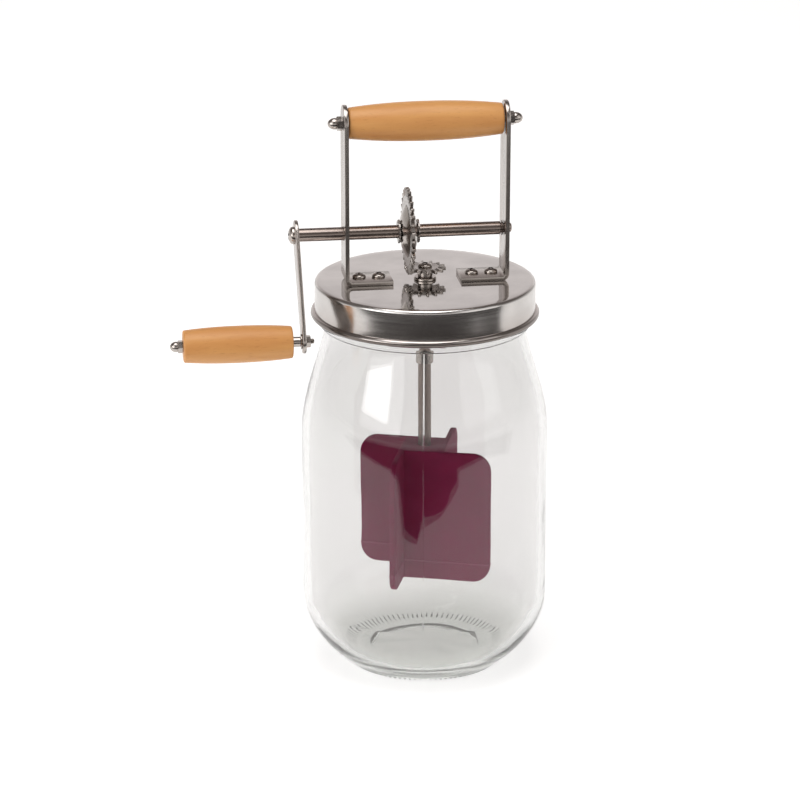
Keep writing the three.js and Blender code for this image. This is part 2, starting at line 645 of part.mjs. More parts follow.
// The crank hangs from the shaft's axis along its own -Z, and the whole group is turned about X.
const crank = new THREE.Group();
crank.position.set(0, 0, CRANK_Z);
crank.rotation.x = radians(CRANK_TURN);
churn.add(crank);
const armOuter = ARM_X - ARM_SHEET;
const armScrew = againstX(
  domedScrew(ARM_SCREW_RADIUS, ARM_SCREW_DEPTH, ARM_SCREW_HEAD_RADIUS, ARM_SCREW_HEAD_HEIGHT),
);
add(crank, "crank_arm", crankArm(), platedSteel(), armOuter, 0, 0);
add(crank, "crank_arm_screw", armScrew, platedSteel(), armOuter - SEAT, 0, 0);

const gripEnd = GRIP_X - GRIP_LENGTH;
const studFrom = gripEnd - SEAT - GRIP_ACORN_LENGTH * ACORN_ROD;
const studTo = ARM_X + SEAT + STUD_NUT_HEIGHT + STUD_END;
const gripPieces = [
  ["crank_stud", alongX(bar(STUD_RADIUS, 0, studTo - studFrom, SMALL)), studFrom, platedSteel()],
  [
    "crank_grip",
    alongX(barrel(GRIP_LENGTH, GRIP_END_RADIUS, GRIP_MID_RADIUS, STUD_RADIUS)),
    gripEnd,
    turnedBeech(),
  ],
  [
    "crank_grip_acorn_nut",
    againstX(acornNut(GRIP_ACORN_FLATS, GRIP_ACORN_HEX, GRIP_ACORN_LENGTH, STUD_RADIUS)),
    gripEnd - SEAT,
    platedSteel(),
  ],
  [
    "crank_spacer",
    alongX(tube(STUD_RADIUS + SEAT, SPACER_RADIUS, 0, SPACER_LENGTH, SMALL)),
    SPACER_X - SPACER_LENGTH,
    platedSteel(),
  ],
  [
    "crank_washer",
    alongX(tube(STUD_RADIUS + SEAT, WASHER_RADIUS, 0, WASHER_THICKNESS, SMALL)),
    SPACER_X + SEAT,
    platedSteel(),
  ],
  [
    "crank_hex_nut",
    alongX(hexNut(STUD_NUT_FLATS, STUD_NUT_HEIGHT, STUD_RADIUS)),
    ARM_X + SEAT,
    platedSteel(),
  ],
];
for (const [name, geometry, x, material] of gripPieces) {
  add(crank, name, geometry, material, x, 0, -CRANK_THROW);
}

add(churn, "dasher_shaft", dasherShaft(), platedSteel());
add(churn, "bearing_sleeve", bearingSleeve(), platedSteel());
const bearingNut = hexNut(BEARING_NUT_FLATS, BEARING_NUT_HEIGHT, SLEEVE_RADIUS);
add(churn, "bearing_nut", bearingNut, platedSteel(), 0, 0, LID_UNDER - SEAT - BEARING_NUT_HEIGHT);
add(churn, "pinion_gear", pinionGear(), platedSteel(), 0, 0, PINION_Z);
const capScrew = domedScrew(CAP_SCREW_RADIUS, CAP_SCREW_DEPTH - SEAT, CAP_HEAD_RADIUS, CAP_HEAD_HEIGHT);
add(churn, "pinion_screw", capScrew, platedSteel(), 0, 0, PINION_TOP + SEAT);
const dasher = add(churn, "paddle", paddle(), burgundySilicone(), 0, 0, PADDLE_FOOT);
dasher.rotation.z = radians(PADDLE_TURN);

export default churn;
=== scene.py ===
import math

import bmesh
import bpy
from mathutils import Euler, Matrix, Vector, noise


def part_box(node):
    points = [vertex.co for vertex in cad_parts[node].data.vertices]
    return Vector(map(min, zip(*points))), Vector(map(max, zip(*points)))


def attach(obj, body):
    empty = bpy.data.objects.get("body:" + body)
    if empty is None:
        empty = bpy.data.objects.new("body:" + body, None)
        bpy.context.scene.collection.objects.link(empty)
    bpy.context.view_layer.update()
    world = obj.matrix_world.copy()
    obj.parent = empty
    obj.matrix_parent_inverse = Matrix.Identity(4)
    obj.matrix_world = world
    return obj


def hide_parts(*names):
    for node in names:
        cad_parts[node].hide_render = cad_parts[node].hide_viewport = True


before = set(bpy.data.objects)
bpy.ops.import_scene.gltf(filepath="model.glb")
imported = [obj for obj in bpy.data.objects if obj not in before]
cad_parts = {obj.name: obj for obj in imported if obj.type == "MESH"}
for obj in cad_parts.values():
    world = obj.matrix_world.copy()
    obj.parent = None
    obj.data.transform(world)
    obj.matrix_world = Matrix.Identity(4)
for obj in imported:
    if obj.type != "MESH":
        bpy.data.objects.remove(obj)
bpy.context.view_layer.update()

bl_info = {
    "name": "Glass butter churn",
    "version": (1, 0, 0),
    "blender": (4, 5, 0),
    "location": "3D View > Sidebar > Churn",
    "description": "Builds the visible pieces of a hand-cranked glass butter churn round its CAD frame",
    "category": "Object",
}

MM = 0.001  # metres in a millimetre: every size below is in metres


# ---- Where the frame says things are ----


def span(node, axis):
    """Lowest and highest coordinate of a CAD node along an axis, 0 to 2."""
    low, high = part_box(node)
    return low[axis], high[axis]


def centre(node):
    """Middle of a CAD node's box."""
    low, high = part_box(node)
    return (low + high) / 2


JAR_RADIUS = span("glass_jar", 0)[1]
JAR_HEIGHT = span("glass_jar", 2)[1]
LID_TOP = span("lid", 2)[1]
LID_FOOT = span("lid", 2)[0]
CURL_RADIUS_OUT = span("lid", 0)[1]
SHAFT_Z = centre("crank_shaft").z
SHAFT_RADIUS = (span("crank_shaft", 2)[1] - span("crank_shaft", 2)[0]) / 2
HANDLE_Z = centre("carry_rod").z
GRIP_AXIS = centre("crank_stud")
ARM_LEAN = math.atan2(-GRIP_AXIS.y, SHAFT_Z - GRIP_AXIS.z)  # of the crank arm from hanging straight down
THROW = math.hypot(GRIP_AXIS.y, SHAFT_Z - GRIP_AXIS.z)  # from the crank's axis to the grip's
PADDLE_FOOT, PADDLE_TOP = span("paddle", 2)
SIDES = (("left", -1), ("right", 1))  # the two sides of the lid, and which way X points there

# The jar's own sizes.
HEEL_RUN, HEEL_RISE, HEEL_POWER = 27.3 * MM, 31.8 * MM, 1.67  # width, height and fullness of the lower curve
SHOULDER_RISE, SHOULDER_WAVE = 50 * MM, 0.81  # height of the upper curve, and how much of half a wave it is
NECK_RADIUS, NECK_RISE = 44.1 * MM, 17.5 * MM
RIM_RADIUS, LIP = 45.2 * MM, 1.6 * MM  # the mouth outside, and the rounding of its edge
SEAMS = (math.radians(-99), math.radians(81))  # where the two halves of the mould met
SEAM_HALF, SEAM_HEIGHT = math.radians(0.3), 0.16 * MM
RIBS, RIB_HEIGHT = (32.5 * MM, 38.5 * MM), 0.9 * MM  # radii between which the ribbed ring lies
BEAD, BEAD_HEIGHT = (37.6 * MM, 40 * MM), 0.4 * MM  # radii of the bead that closes the ribs


# ---- Sizes and colours that a user would change ----


def length(name, description, millimetres):
    return bpy.props.FloatProperty(
        name=name, description=description, default=millimetres * MM, min=0, precision=5, unit="LENGTH"
    )


def angle(name, description, degrees):
    return bpy.props.FloatProperty(
        name=name, description=description, default=math.radians(degrees), subtype="ANGLE"
    )


def colour(name, description, hexadecimal):
    return bpy.props.StringProperty(name=name, description=description, default=hexadecimal)


def count(name, description, number):
    return bpy.props.IntProperty(name=name, description=description, default=number)


class JarSettings(bpy.types.PropertyGroup):
    """Sizes and colour of the glass jar."""

    wall: length("Wall", "Thickness of the glass in the jar's side", 3.5)
    floor: length("Floor", "Height of the inside floor above the table", 4.8)
    ripple: length("Ripple", "How far the inside of the blown wall wanders", 0.22)
    stipples: count("Stipples", "Ribs in the ring that grips the table", 96)
    tint: colour("Glass", "Colour that light takes on at each face of the glass", "#eae8e9")


class LidSettings(bpy.types.PropertyGroup):
    """Sizes and colours of the steel lid."""

    sheet: length("Sheet", "Thickness of the lid's steel", 0.7)
    edge: length("Edge", "Rounding between the lid's top and skirt", 1.6)
    curl: length("Curl", "Radius of the curled lower edge", 1.45)
    steel: colour("Steel", "Colour of the stainless sheet", "#cfcbc8")
    seal: colour("Seal", "Colour of the seal ring", "#e8e4dc")


class HardwareSettings(bpy.types.PropertyGroup):
    """Sizes and colours of the brackets, shafts, screws and nuts."""

    softened: length("Softened edges", "Rounding of the edges of stamped and turned steel", 0.3)
    cross: length("Cross", "Length of a bracket screw's cross recess", 3.2)
    plating: colour("Plating", "Colour of the nickel plating", "#b7afa9")
    drawn: colour("Rods", "Colour of the drawn rods", "#9c8f88")
    dark_plating: colour("Gears", "Colour of the stamped gears", "#a19a95")


class GearSettings(bpy.types.PropertyGroup):
    """Teeth of the gears and the notched washers."""

    gear_teeth: count("Drive teeth", "Teeth of the drive gear", 32)
    pinion_teeth: count("Pinion teeth", "Teeth of the pinion", 14)
    washer_lugs: count("Lugs", "Lugs of a notched washer", 8)
    tooth: length("Tooth", "Width of a drive gear's tooth at its foot", 1.5)
    dish: length("Dish", "Radius of the gear's dished side plates", 11.5)


class WoodSettings(bpy.types.PropertyGroup):
    """Shape and colours of the two wooden grips."""

    rounding: length("Rounding", "Rounding at the ends of a grip", 0.9)
    light: colour("Light wood", "Paler colour of the beech", "#dba05e")
    dark: colour("Dark wood", "Deeper colour of the beech", "#c68446")
    fleck: colour("Flecks", "Colour of the beech's short pores", "#a9692f")


class DasherSettings(bpy.types.PropertyGroup):
    """Sizes and colour of the silicone dasher."""

    hub: length("Hub", "Side of the square hub", 20)
    blade: length("Blade", "Thickness of a blade", 2.4)
    corner: length("Corner", "Radius of a blade's outer corners", 8)
    seam: length("Seam", "Height of the mould's parting line above the blades' lower edge", 8.5)
    silicone: colour("Silicone", "Colour of the silicone", "#8a1b49")


class StageSettings(bpy.types.PropertyGroup):
    """Camera, light and floor."""

    lens: bpy.props.FloatProperty(name="Lens", description="Focal length, mm", default=139.2)
    distance: length("Distance", "Level distance from the jar's axis to the camera", 1299.7)
    height: length("Height", "Height of the camera above the table", 566)
    aside: length("Aside", "How far the camera stands to the left of the jar's axis", 10.98)
    turn: angle("Turn", "Turn of the camera round the jar", -8)
    pitch: angle("Pitch", "How far the camera looks down", 18.866)
    floor: colour("Floor", "Colour of the paper floor", "#d9d9d8")


# ---- Nodes ----


def linear(hexadecimal):
    """An sRGB colour such as "#a0b0c0" as linear RGBA."""
    values = [int(hexadecimal[i : i + 2], 16) / 255 for i in (1, 3, 5)]
    return (*[v / 12.92 if v <= 0.04045 else ((v + 0.055) / 1.055) ** 2.4 for v in values], 1.0)


def fill(tree, node, inputs):
    """Gives sockets of a node, by name or number, a value or a link."""
    for socket, value in inputs.items():
        if isinstance(value, bpy.types.NodeSocket):
            tree.links.new(value, node.inputs[socket])
        else:
            node.inputs[socket].default_value = value


def add_node(tree, kind, inputs=(), **settings):
    """Adds a node: settings are its attributes, and inputs are as for fill."""
    made = tree.nodes.new(kind)
    for name, value in settings.items():
        setattr(made, name, value)
    fill(tree, made, dict(inputs))
    return made


def per(size):
    """The texture scale, in metres, of a pattern whose features are this size."""
    return 1 / size


def new_material(name):
    """A material with an empty tree that ends in a Principled shader."""
    material = bpy.data.materials.new(name)
    material.use_nodes = True
    tree = material.node_tree
    tree.nodes.clear()
    shader = add_node(tree, "ShaderNodeBsdfPrincipled")
    add_node(tree, "ShaderNodeOutputMaterial", {"Surface": shader.outputs[0]})
    return material, tree, shader


def place(tree, scale=(1, 1, 1)):
    """Object coordinates stretched by a scale for each axis."""
    where = add_node(tree, "ShaderNodeTexCoord")
    return add_node(tree, "ShaderNodeMapping", {"Vector": where.outputs["Object"], "Scale": scale}).outputs[0]


def height_of(tree, vector):
    """The Z of a vector."""
    return add_node(tree, "ShaderNodeSeparateXYZ", {0: vector}).outputs["Z"]


def grain(tree, vector, size, detail=3.0):
    """The value of a noise whose features are about this size."""
    inputs = {"Vector": vector, "Scale": per(size), "Detail": detail}
    return add_node(tree, "ShaderNodeTexNoise", inputs).outputs[0]


def spread(tree, value, low, high, span_from=0.3, span_to=0.7):
    """A value from 0 to 1 spread between two others."""
    inputs = {0: value, 1: span_from, 2: span_to, 3: low, 4: high}
    return add_node(tree, "ShaderNodeMapRange", inputs).outputs[0]


def blend_colours(tree, share, first, second):
    """Two colours, or linked colours, mixed by a share."""
    return add_node(tree, "ShaderNodeMix", {0: share, 6: first, 7: second}, data_type="RGBA").outputs[2]


def bumped(tree, height, distance):
    """The normal of a surface raised by a height, 0 to 1, over a distance in metres."""
    return add_node(tree, "ShaderNodeBump", {"Height": height, "Distance": distance}).outputs[0]


# ---- Materials ----


def moulded_glass(settings):
    """Soda-lime glass, blown in a mould: clear and glossy, with painted light near its foot, where it is
    paler and lets less light through so that the heel reads light.
    """
    material, tree, shader = new_material("soda_lime_glass_blown_in_mould")
    height = height_of(tree, place(tree))
    cloud = grain(tree, place(tree), 60 * MM)
    body = blend_colours(tree, cloud, linear(settings.tint), linear("#e6e7e5"))
    # Painted light: near the foot the glass colour turns paler, which lightens the heel.
    painted_light_near_foot = spread(tree, height, 1.0, 0.0, 4 * MM, 24 * MM)
    orange_peel = grain(tree, place(tree), 9 * MM, detail=1.0)
    inputs = {
        "Base Color": blend_colours(tree, painted_light_near_foot, body, linear("#f6f8f4")),
        # Painted light: less transmission near the foot also makes the heel paler.
        "Transmission Weight": spread(tree, height, 0.8, 1.0, 0.0, 16 * MM),
        "Roughness": 0.0,
        "IOR": 1.46,
        "Normal": bumped(tree, orange_peel, 0.015 * MM),
    }
    fill(tree, shader, inputs)
    return material


def metal(name, hexadecimal, roughness, stretch, line, bump, wander=0.06):
    """Bare metal with fine lines: stretch is how far the grain runs along each axis, line its spacing."""
    material, tree, shader = new_material(name)
    lines = grain(tree, place(tree, stretch), line, detail=2.0)
    cloud = spread(tree, grain(tree, place(tree), 14 * MM), 0.0, 1.0)
    base = linear(hexadecimal)
    deeper = (*[c * 0.82 for c in base[:3]], 1.0)
    inputs = {
        "Metallic": 1.0,
        "Base Color": blend_colours(tree, cloud, base, deeper),
        "Roughness": spread(tree, lines, roughness - wander, roughness + wander),
        "Normal": bumped(tree, lines, bump),
    }
    fill(tree, shader, inputs)
    return material


def rolled_steel(settings):
    """Bright-rolled stainless sheet: almost a mirror, with a haze that blurs what it reflects."""
    return metal("stainless_sheet_bright_rolled", settings.steel, 0.075, (1, 1, 1), 6 * MM, 0.0006 * MM, 0.02)


def turned_steel(settings):
    """Stainless skirt polished on a lathe: fine lines run round it, and painted shade makes it browner
    towards its curl and dark on the curl.
    """
    round_it = (0.002, 0.002, 1)
    sizes = (0.19, round_it, 0.5 * MM, 0.0005 * MM, 0.03)
    material = metal("stainless_skirt_lathe_polished", settings.steel, *sizes)
    tree = material.node_tree
    shader = next(node for node in tree.nodes if node.type == "BSDF_PRINCIPLED")
    clean = shader.inputs["Base Color"].links[0].from_socket
    height = height_of(tree, place(tree))
    # Painted shade: the colour turns a darker, browner grey towards the foot of the skirt, standing in for
    # shade and dark reflections there.
    low = spread(tree, height, 0.45, 0.0, LID_FOOT + 3 * MM, LID_TOP - 5 * MM)
    painted_shade_lower_skirt = blend_colours(tree, low, clean, linear("#9d918b"))
    # Painted shade: the curl is coloured dark, standing in for the shade in and under it.
    curl = spread(tree, height, 0.85, 0.0, LID_FOOT + 1.4 * MM, LID_FOOT + 2.6 * MM)
    fill(tree, shader, {"Base Color": blend_colours(tree, curl, painted_shade_lower_skirt, linear("#5d544f"))})
    return material


def brushed_strip(settings):
    """Plated strip brushed along its length: pale, with soft upright streaks."""
    sizes = (0.24, (1, 1, 0.03), 0.7 * MM, 0.0003 * MM, 0.02)
    return metal("nickel_plated_strip_brushed", settings.plating, *sizes)


def plated_steel(settings):
    """Barrel-plated nickel on small turned parts: bright, with small dents that break up its highlights."""
    return metal("nickel_barrel_plated", settings.plating, 0.18, (1, 1, 1), 1.6 * MM, 0.006 * MM, 0.03)


def drawn_rod(settings):
    """Drawn and plated rod: lines round its girth from the lathe, and a satin streak along it."""
    return metal("nickel_plated_drawn_rod", settings.drawn, 0.24, (0.03, 1, 1), 0.8 * MM, 0.001 * MM, 0.04)


def drawn_upright_rod(settings):
    """The dasher's drawn rod, plated less evenly: a satin streak along it, broken by small pits."""
    return metal("nickel_plated_dasher_rod", settings.drawn, 0.38, (1, 1, 0.6), 0.7 * MM, 0.02 * MM)


def stamped_steel(settings):
    """Stamped and tumbled gear steel: duller than the plating, with rounded, worn edges."""
    return metal("steel_stamped_tumbled", settings.dark_plating, 0.28, (1, 1, 1), 1.2 * MM, 0.01 * MM)


def turned_beech(settings):
    """Beech turned along the grain and thinly lacquered: warm, with long soft bands and short dark pores."""
    material, tree, shader = new_material("beech_turned_lacquered")
    bands = grain(tree, place(tree, (0.12, 1, 1)), 5 * MM, detail=4.0)
    wide = grain(tree, place(tree, (0.3, 1, 1)), 26 * MM, detail=1.0)
    pores = grain(tree, place(tree, (0.16, 1, 1)), 0.5 * MM, detail=1.0)
    light, dark, fleck = linear(settings.light), linear(settings.dark), linear(settings.fleck)
    body = blend_colours(tree, spread(tree, bands, 0.0, 0.8), light, dark)
    warm = blend_colours(tree, spread(tree, wide, 0.0, 0.35), body, linear("#d5944b"))
    inputs = {
        "Base Color": blend_colours(tree, spread(tree, pores, 0.0, 0.32, 0.6, 0.78), warm, fleck),
        "Roughness": spread(tree, bands, 0.42, 0.52),
        "Coat Weight": 0.12,
        "Coat Roughness": 0.3,
        "Normal": bumped(tree, pores, 0.03 * MM),
    }
    fill(tree, shader, inputs)
    return material


def moulded_silicone(name, colour_of_body, colour_of_cloud):
    """Silicone cast in a two-part mould: satin, a little cloudy, and softly lit from inside at thin edges."""
    material, tree, shader = new_material(name)
    cloud = spread(tree, grain(tree, place(tree), 11 * MM), 0.0, 0.5)
    fine = grain(tree, place(tree), 0.8 * MM, detail=2.0)
    inputs = {
        "Base Color": blend_colours(tree, cloud, linear(colour_of_body), linear(colour_of_cloud)),
        "Roughness": spread(tree, fine, 0.5, 0.62),
        "IOR": 1.42,
        "Specular IOR Level": 0.2,
        "Subsurface Weight": 0.12,
        "Subsurface Radius": (1.0, 0.25, 0.4),
        "Subsurface Scale": 1.5 * MM,
        "Sheen Weight": 0.3,
        "Sheen Roughness": 0.4,
        "Sheen Tint": linear("#d98aa6"),
        "Normal": bumped(tree, fine, 0.005 * MM),
    }
    fill(tree, shader, inputs)
    return material


def seal_silicone(settings):
    """Undyed food-grade silicone: milky and matt."""
    material, tree, shader = new_material("silicone_moulded_undyed")
    cloud = spread(tree, grain(tree, place(tree), 5 * MM), 0.0, 0.3)
    milky = blend_colours(tree, cloud, linear(settings.seal), linear("#d8d3c8"))
    fill(tree, shader, {"Base Color": milky, "Roughness": 0.55})
    return material


# ---- Meshes ----


def turned(profile, steps=96):
    """A profile of (radius, height) points turned round Z, as vertices and faces.

    The profile closes on itself or on the axis.
    """
    rings = []
    vertices = []
    for radius, height in profile:
        if radius < 1e-7:
            rings.append([len(vertices)] * steps)
            vertices.append((0, 0, height))
            continue
        rings.append(range(len(vertices), len(vertices) + steps))
        turns = [2 * math.pi * i / steps for i in range(steps)]
        vertices += [(radius * math.cos(a), radius * math.sin(a), height) for a in turns]
    pairs = list(zip(rings, rings[1:]))
    if profile[0][0] > 1e-7:
        pairs.append((rings[-1], rings[0]))
    faces = []
    for low, high in pairs:
        for i in range(steps):
            j = (i + 1) % steps
            corners = list(dict.fromkeys((low[i], low[j], high[j], high[i])))
            if len(corners) > 2:
                faces.append(corners)
    return vertices, faces


def arc(x, y, radius, start, stop, steps, tall=None):
    """Points on an arc about (x, y) between two angles in degrees, or on an ellipse of half height tall."""
    angles = [math.radians(start + (stop - start) * i / steps) for i in range(steps + 1)]
    return [(x + radius * math.cos(a), y + (tall or radius) * math.sin(a)) for a in angles]


def in_mm(*points, z=0):
    """Points given in millimetres, with their heights counted from z, in metres."""
    return [(x * MM, z + y * MM) for x, y in points]


def ring_section(bore, radius, low, high, across, along):
    """The section of a ring whose outer edges are turned off by a chamfer this far across and along."""
    section = [(bore, low), (radius - across, low), (radius, low + along), (radius, high - along)]
    return section + [(radius - across, high), (bore, high)]


def slab(outline, thickness):
    """A flat outline in X and Y thickened upwards from z = 0."""
    count = len(outline)
    vertices = [(x, y, 0) for x, y in outline] + [(x, y, thickness) for x, y in outline]
    faces = [list(reversed(range(count))), list(range(count, 2 * count))]
    faces += [(i, (i + 1) % count, count + (i + 1) % count, count + i) for i in range(count)]
    return vertices, faces


def joined(*shapes):
    """Several shapes as one list of vertices and one of faces."""
    vertices, faces = [], []
    for shape_vertices, shape_faces in shapes:
        offset = len(vertices)
        vertices += [tuple(v) for v in shape_vertices]
        faces += [[i + offset for i in face] for face in shape_faces]
    return vertices, faces


def moved(shape, matrix):
    vertices, faces = shape
    return [tuple(matrix @ Vector(v)) for v in vertices], faces


def shifted(shape, x=0, y=0, z=0):
    return moved(shape, Matrix.Translation((x, y, z)))


def along_x(shape, sign=1):
    """Lays a shape from the Z axis along X, or against it with sign -1."""
    return moved(shape, Matrix.Rotation(sign * math.pi / 2, 4, "Y"))


def stood_up(shape):
    """A slab stood up: its X becomes Y, its Y becomes Z, and its thickness runs along X."""
    return moved(shape, Matrix.Rotation(math.pi / 2, 4, "Z") @ Matrix.Rotation(math.pi / 2, 4, "X"))


def laid(shape, x, z, sign=1):
    """Lays a shape from the Z axis along X, as along_x does, and moves it to this x and z."""
    return shifted(along_x(shape, sign), x=x, z=z)


def hung(shape):
    """Turns a shape that hangs from the origin by the crank's lean, and lifts it to the shaft's axis."""
    return moved(shape, Matrix.Translation((0, 0, SHAFT_Z)) @ Matrix.Rotation(-ARM_LEAN, 4, "X"))


def mesh_of(name, shape, recalculate=True):
    """A mesh with its doubles merged and its faces turned outwards."""
    vertices, faces = shape
    mesh = bpy.data.meshes.new(name)
    mesh.from_pydata(vertices, [], faces)
    work = bmesh.new()
    work.from_mesh(mesh)
    bmesh.ops.remove_doubles(work, verts=work.verts, dist=1e-7)
    if recalculate:
        bmesh.ops.recalc_face_normals(work, faces=work.faces)
    work.to_mesh(mesh)
    work.free()
    return mesh


def new_object(name, mesh):
    made = bpy.data.objects.new(name, mesh)
    bpy.context.scene.collection.objects.link(made)
    return made


def plain_mesh(holder, name):
    """The evaluated mesh of an object with modifiers, as a plain mesh; the object is removed."""
    bpy.context.view_layer.update()
    graph = bpy.context.evaluated_depsgraph_get()
    mesh = bpy.data.meshes.new_from_object(holder.evaluated_get(graph))
    mesh.name = name
    bpy.data.objects.remove(holder)
    return mesh


def carved(shape, cutters, operation="DIFFERENCE"):
    """A shape with others cut from it, or kept in common with them, as a plain mesh."""
    holder = new_object("carving", mesh_of("carving", shape))
    tools = [new_object("cutter", mesh_of("cutter", cutter)) for cutter in cutters]
    for tool in tools:
        cut = holder.modifiers.new("cut", "BOOLEAN")
        cut.object = tool
        cut.operation = operation
        cut.solver = "EXACT"
    mesh = plain_mesh(holder, "carved")
    for tool in tools:
        bpy.data.objects.remove(tool)
    return mesh


def shape_of(mesh):
    return [tuple(v.co) for v in mesh.vertices], [list(p.vertices) for p in mesh.polygons]


def softened(mesh, width, segments, sharp):
    """The mesh with its edges sharper than an angle in degrees rounded off."""
    made = new_object("soft_edges", mesh)
    bevel = made.modifiers.new("soft edges", "BEVEL")
    bevel.width = width
    bevel.segments = segments
    bevel.limit_method = "ANGLE"
    bevel.angle_limit = math.radians(sharp)
    return plain_mesh(made, "soft_edges")


def piece(name, mesh, material, body, nodes, sharp=32, soften=0.0):
    """A finished piece from a mesh or a shape: it rides on a body and stands for CAD nodes.

    Its edges are softened by this width, and those sharper than this angle stay crisp in the shading.
    """
    if isinstance(mesh, tuple):
        mesh = mesh_of(name, mesh)
    if not mesh.materials:
        mesh.materials.append(material)
    if soften:
        mesh = softened(mesh, soften, 2, sharp)
    mesh.name = name
    made = new_object(name, mesh)
    mesh.shade_smooth()
    mesh.set_sharp_from_angle(angle=math.radians(sharp))
    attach(made, body)
    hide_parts(*nodes)
    return made


def paint_node(node, material):
    """A CAD node that is shown as it is takes a material."""
    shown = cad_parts[node]
    shown.data.materials.clear()
    shown.data.materials.append(material)


# ---- Geometry Nodes ----


def new_group(name, inputs):
    """A Geometry Nodes group with a geometry in and out and the named inputs (name, socket type)."""
    tree = bpy.data.node_groups.new(name, "GeometryNodeTree")
    tree.interface.new_socket("Geometry", in_out="INPUT", socket_type="NodeSocketGeometry")
    for label, kind in inputs:
        tree.interface.new_socket(label, in_out="INPUT", socket_type=kind)
    tree.interface.new_socket("Geometry", in_out="OUTPUT", socket_type="NodeSocketGeometry")
    return tree, tree.nodes.new("NodeGroupInput").outputs


def close_group(tree, geometry, material):
    """Ends a group in Realize Instances and Set Material."""
    real = add_node(tree, "GeometryNodeRealizeInstances", {"Geometry": geometry})
    painted = add_node(tree, "GeometryNodeSetMaterial", {"Geometry": real.outputs[0], "Material": material})
    add_node(tree, "NodeGroupOutput", {0: painted.outputs[0]})
    return tree


def ring_group():
    """Copies of one object stand round the Z axis, the first at an angle from +X, and join the geometry."""
    sockets = [
        ("Copy", "NodeSocketObject"),
        ("Count", "NodeSocketInt"),
        ("Start", "NodeSocketFloat"),
        ("Material", "NodeSocketMaterial"),
    ]
    tree, given = new_group("copies_round_axis", sockets)
    points = add_node(tree, "GeometryNodeMeshLine", {"Count": given["Count"], "Offset": (0, 0, 0)})
    number = add_node(tree, "GeometryNodeInputIndex").outputs[0]
    inputs = {0: 2 * math.pi, 1: given["Count"]}
    step = add_node(tree, "ShaderNodeMath", inputs, operation="DIVIDE").outputs[0]
    inputs = {0: number, 1: step, 2: given["Start"]}
    angle = add_node(tree, "ShaderNodeMath", inputs, operation="MULTIPLY_ADD").outputs[0]
    turn = add_node(tree, "ShaderNodeCombineXYZ", {"Z": angle}).outputs[0]
    source = add_node(tree, "GeometryNodeObjectInfo", {"Object": given["Copy"]})
    inputs = {"Points": points.outputs[0], "Instance": source.outputs["Geometry"], "Rotation": turn}
    copies = add_node(tree, "GeometryNodeInstanceOnPoints", inputs)
    both = add_node(tree, "GeometryNodeJoinGeometry", {0: given["Geometry"]})
    tree.links.new(copies.outputs[0], both.inputs[0])
    return close_group(tree, both.outputs[0], given["Material"])


def spots_group():
    """A copy of one object stands on each vertex, turned by an angle that differs from one to the next."""
    sockets = [
        ("Copy", "NodeSocketObject"),
        ("Seed", "NodeSocketInt"),
        ("Material", "NodeSocketMaterial"),
    ]
    tree, given = new_group("copies_on_spots", sockets)
    inputs = {2: 0.0, 3: 2 * math.pi, "Seed": given["Seed"]}
    chance = add_node(tree, "FunctionNodeRandomValue", inputs, data_type="FLOAT")
    turn = add_node(tree, "ShaderNodeCombineXYZ", {"Z": chance.outputs[1]}).outputs[0]
    source = add_node(tree, "GeometryNodeObjectInfo", {"Object": given["Copy"]})
    inputs = {"Points": given["Geometry"], "Instance": source.outputs["Geometry"], "Rotation": turn}
    copies = add_node(tree, "GeometryNodeInstanceOnPoints", inputs)
    return close_group(tree, copies.outputs[0], given["Material"])


def grown(group, mesh, values, name):
    """The plain mesh that a Geometry Nodes group makes from a mesh. values go in by the sockets' names."""
    holder = new_object(name, mesh)
    modifier = holder.modifiers.new("nodes", "NODES")
    modifier.node_group = group
    for socket in group.interface.items_tree:
        if socket.in_out == "INPUT" and socket.name in values:
            modifier[socket.identifier] = values[socket.name]
    return plain_mesh(holder, name)


def once(name, make):
    """A node group of this name, made the first time that it is asked for."""
    return bpy.data.node_groups.get(name) or make()


def ring_of(name, base, copy, count, start, material):
    """A base mesh with copies of a shape round the Z axis."""
    source = new_object(name + "_copy", mesh_of(name + "_copy", copy))
    values = {"Copy": source, "Count": count, "Start": start, "Material": material}
    mesh = grown(once("copies_round_axis", ring_group), mesh_of(name, base), values, name)
    bpy.data.objects.remove(source)
    return mesh


# ---- Repeated small parts ----


def domed_head(radius, height, cross, depth):
    """A domed screw head on z = 0 with a cross recess, as a shape."""
    brim = height * 0.28
    profile = [(0, -0.05 * MM), (radius * 0.97, -0.05 * MM), (radius, 0.12 * MM), (radius, brim)]
    profile += arc(0, brim, radius, 4, 90, 9, tall=height - brim)
    profile[-1] = (0, height)
    wide = cross * 0.26
    outline = [(-cross / 2, -wide / 2), (cross / 2, -wide / 2), (cross / 2, wide / 2), (-cross / 2, wide / 2)]
    bar = shifted(slab(outline, height), z=height - depth)
    crossed = moved(bar, Matrix.Rotation(math.pi / 2, 4, "Z"))
    return shape_of(carved(turned(profile, 48), [bar, crossed]))


def hexagon(flats):
    return arc(0, 0, flats / math.sqrt(3), 0, 300, 5)


def chamfered_hexagon(flats, height, hole=0.0):
    """A hexagonal nut whose corners are turned off by a cone, as a shape."""
    corner = flats / math.sqrt(3)
    flat, wide, turned_off = flats * 0.49, corner * 1.02, corner * 0.1
    low, high = -0.01 * MM, height + 0.01 * MM
    cone = [(0, low), (flat, low), (wide, turned_off), (wide, height - turned_off), (flat, high), (0, high)]
    body = carved(slab(hexagon(flats), height), [turned(cone, 48)], "INTERSECT")
    if not hole:
        return shape_of(body)
    bore = [(0, -MM), (hole, -MM), (hole, height + MM), (0, height + MM)]
    return shape_of(carved(shape_of(body), [turned(bore, 32)]))


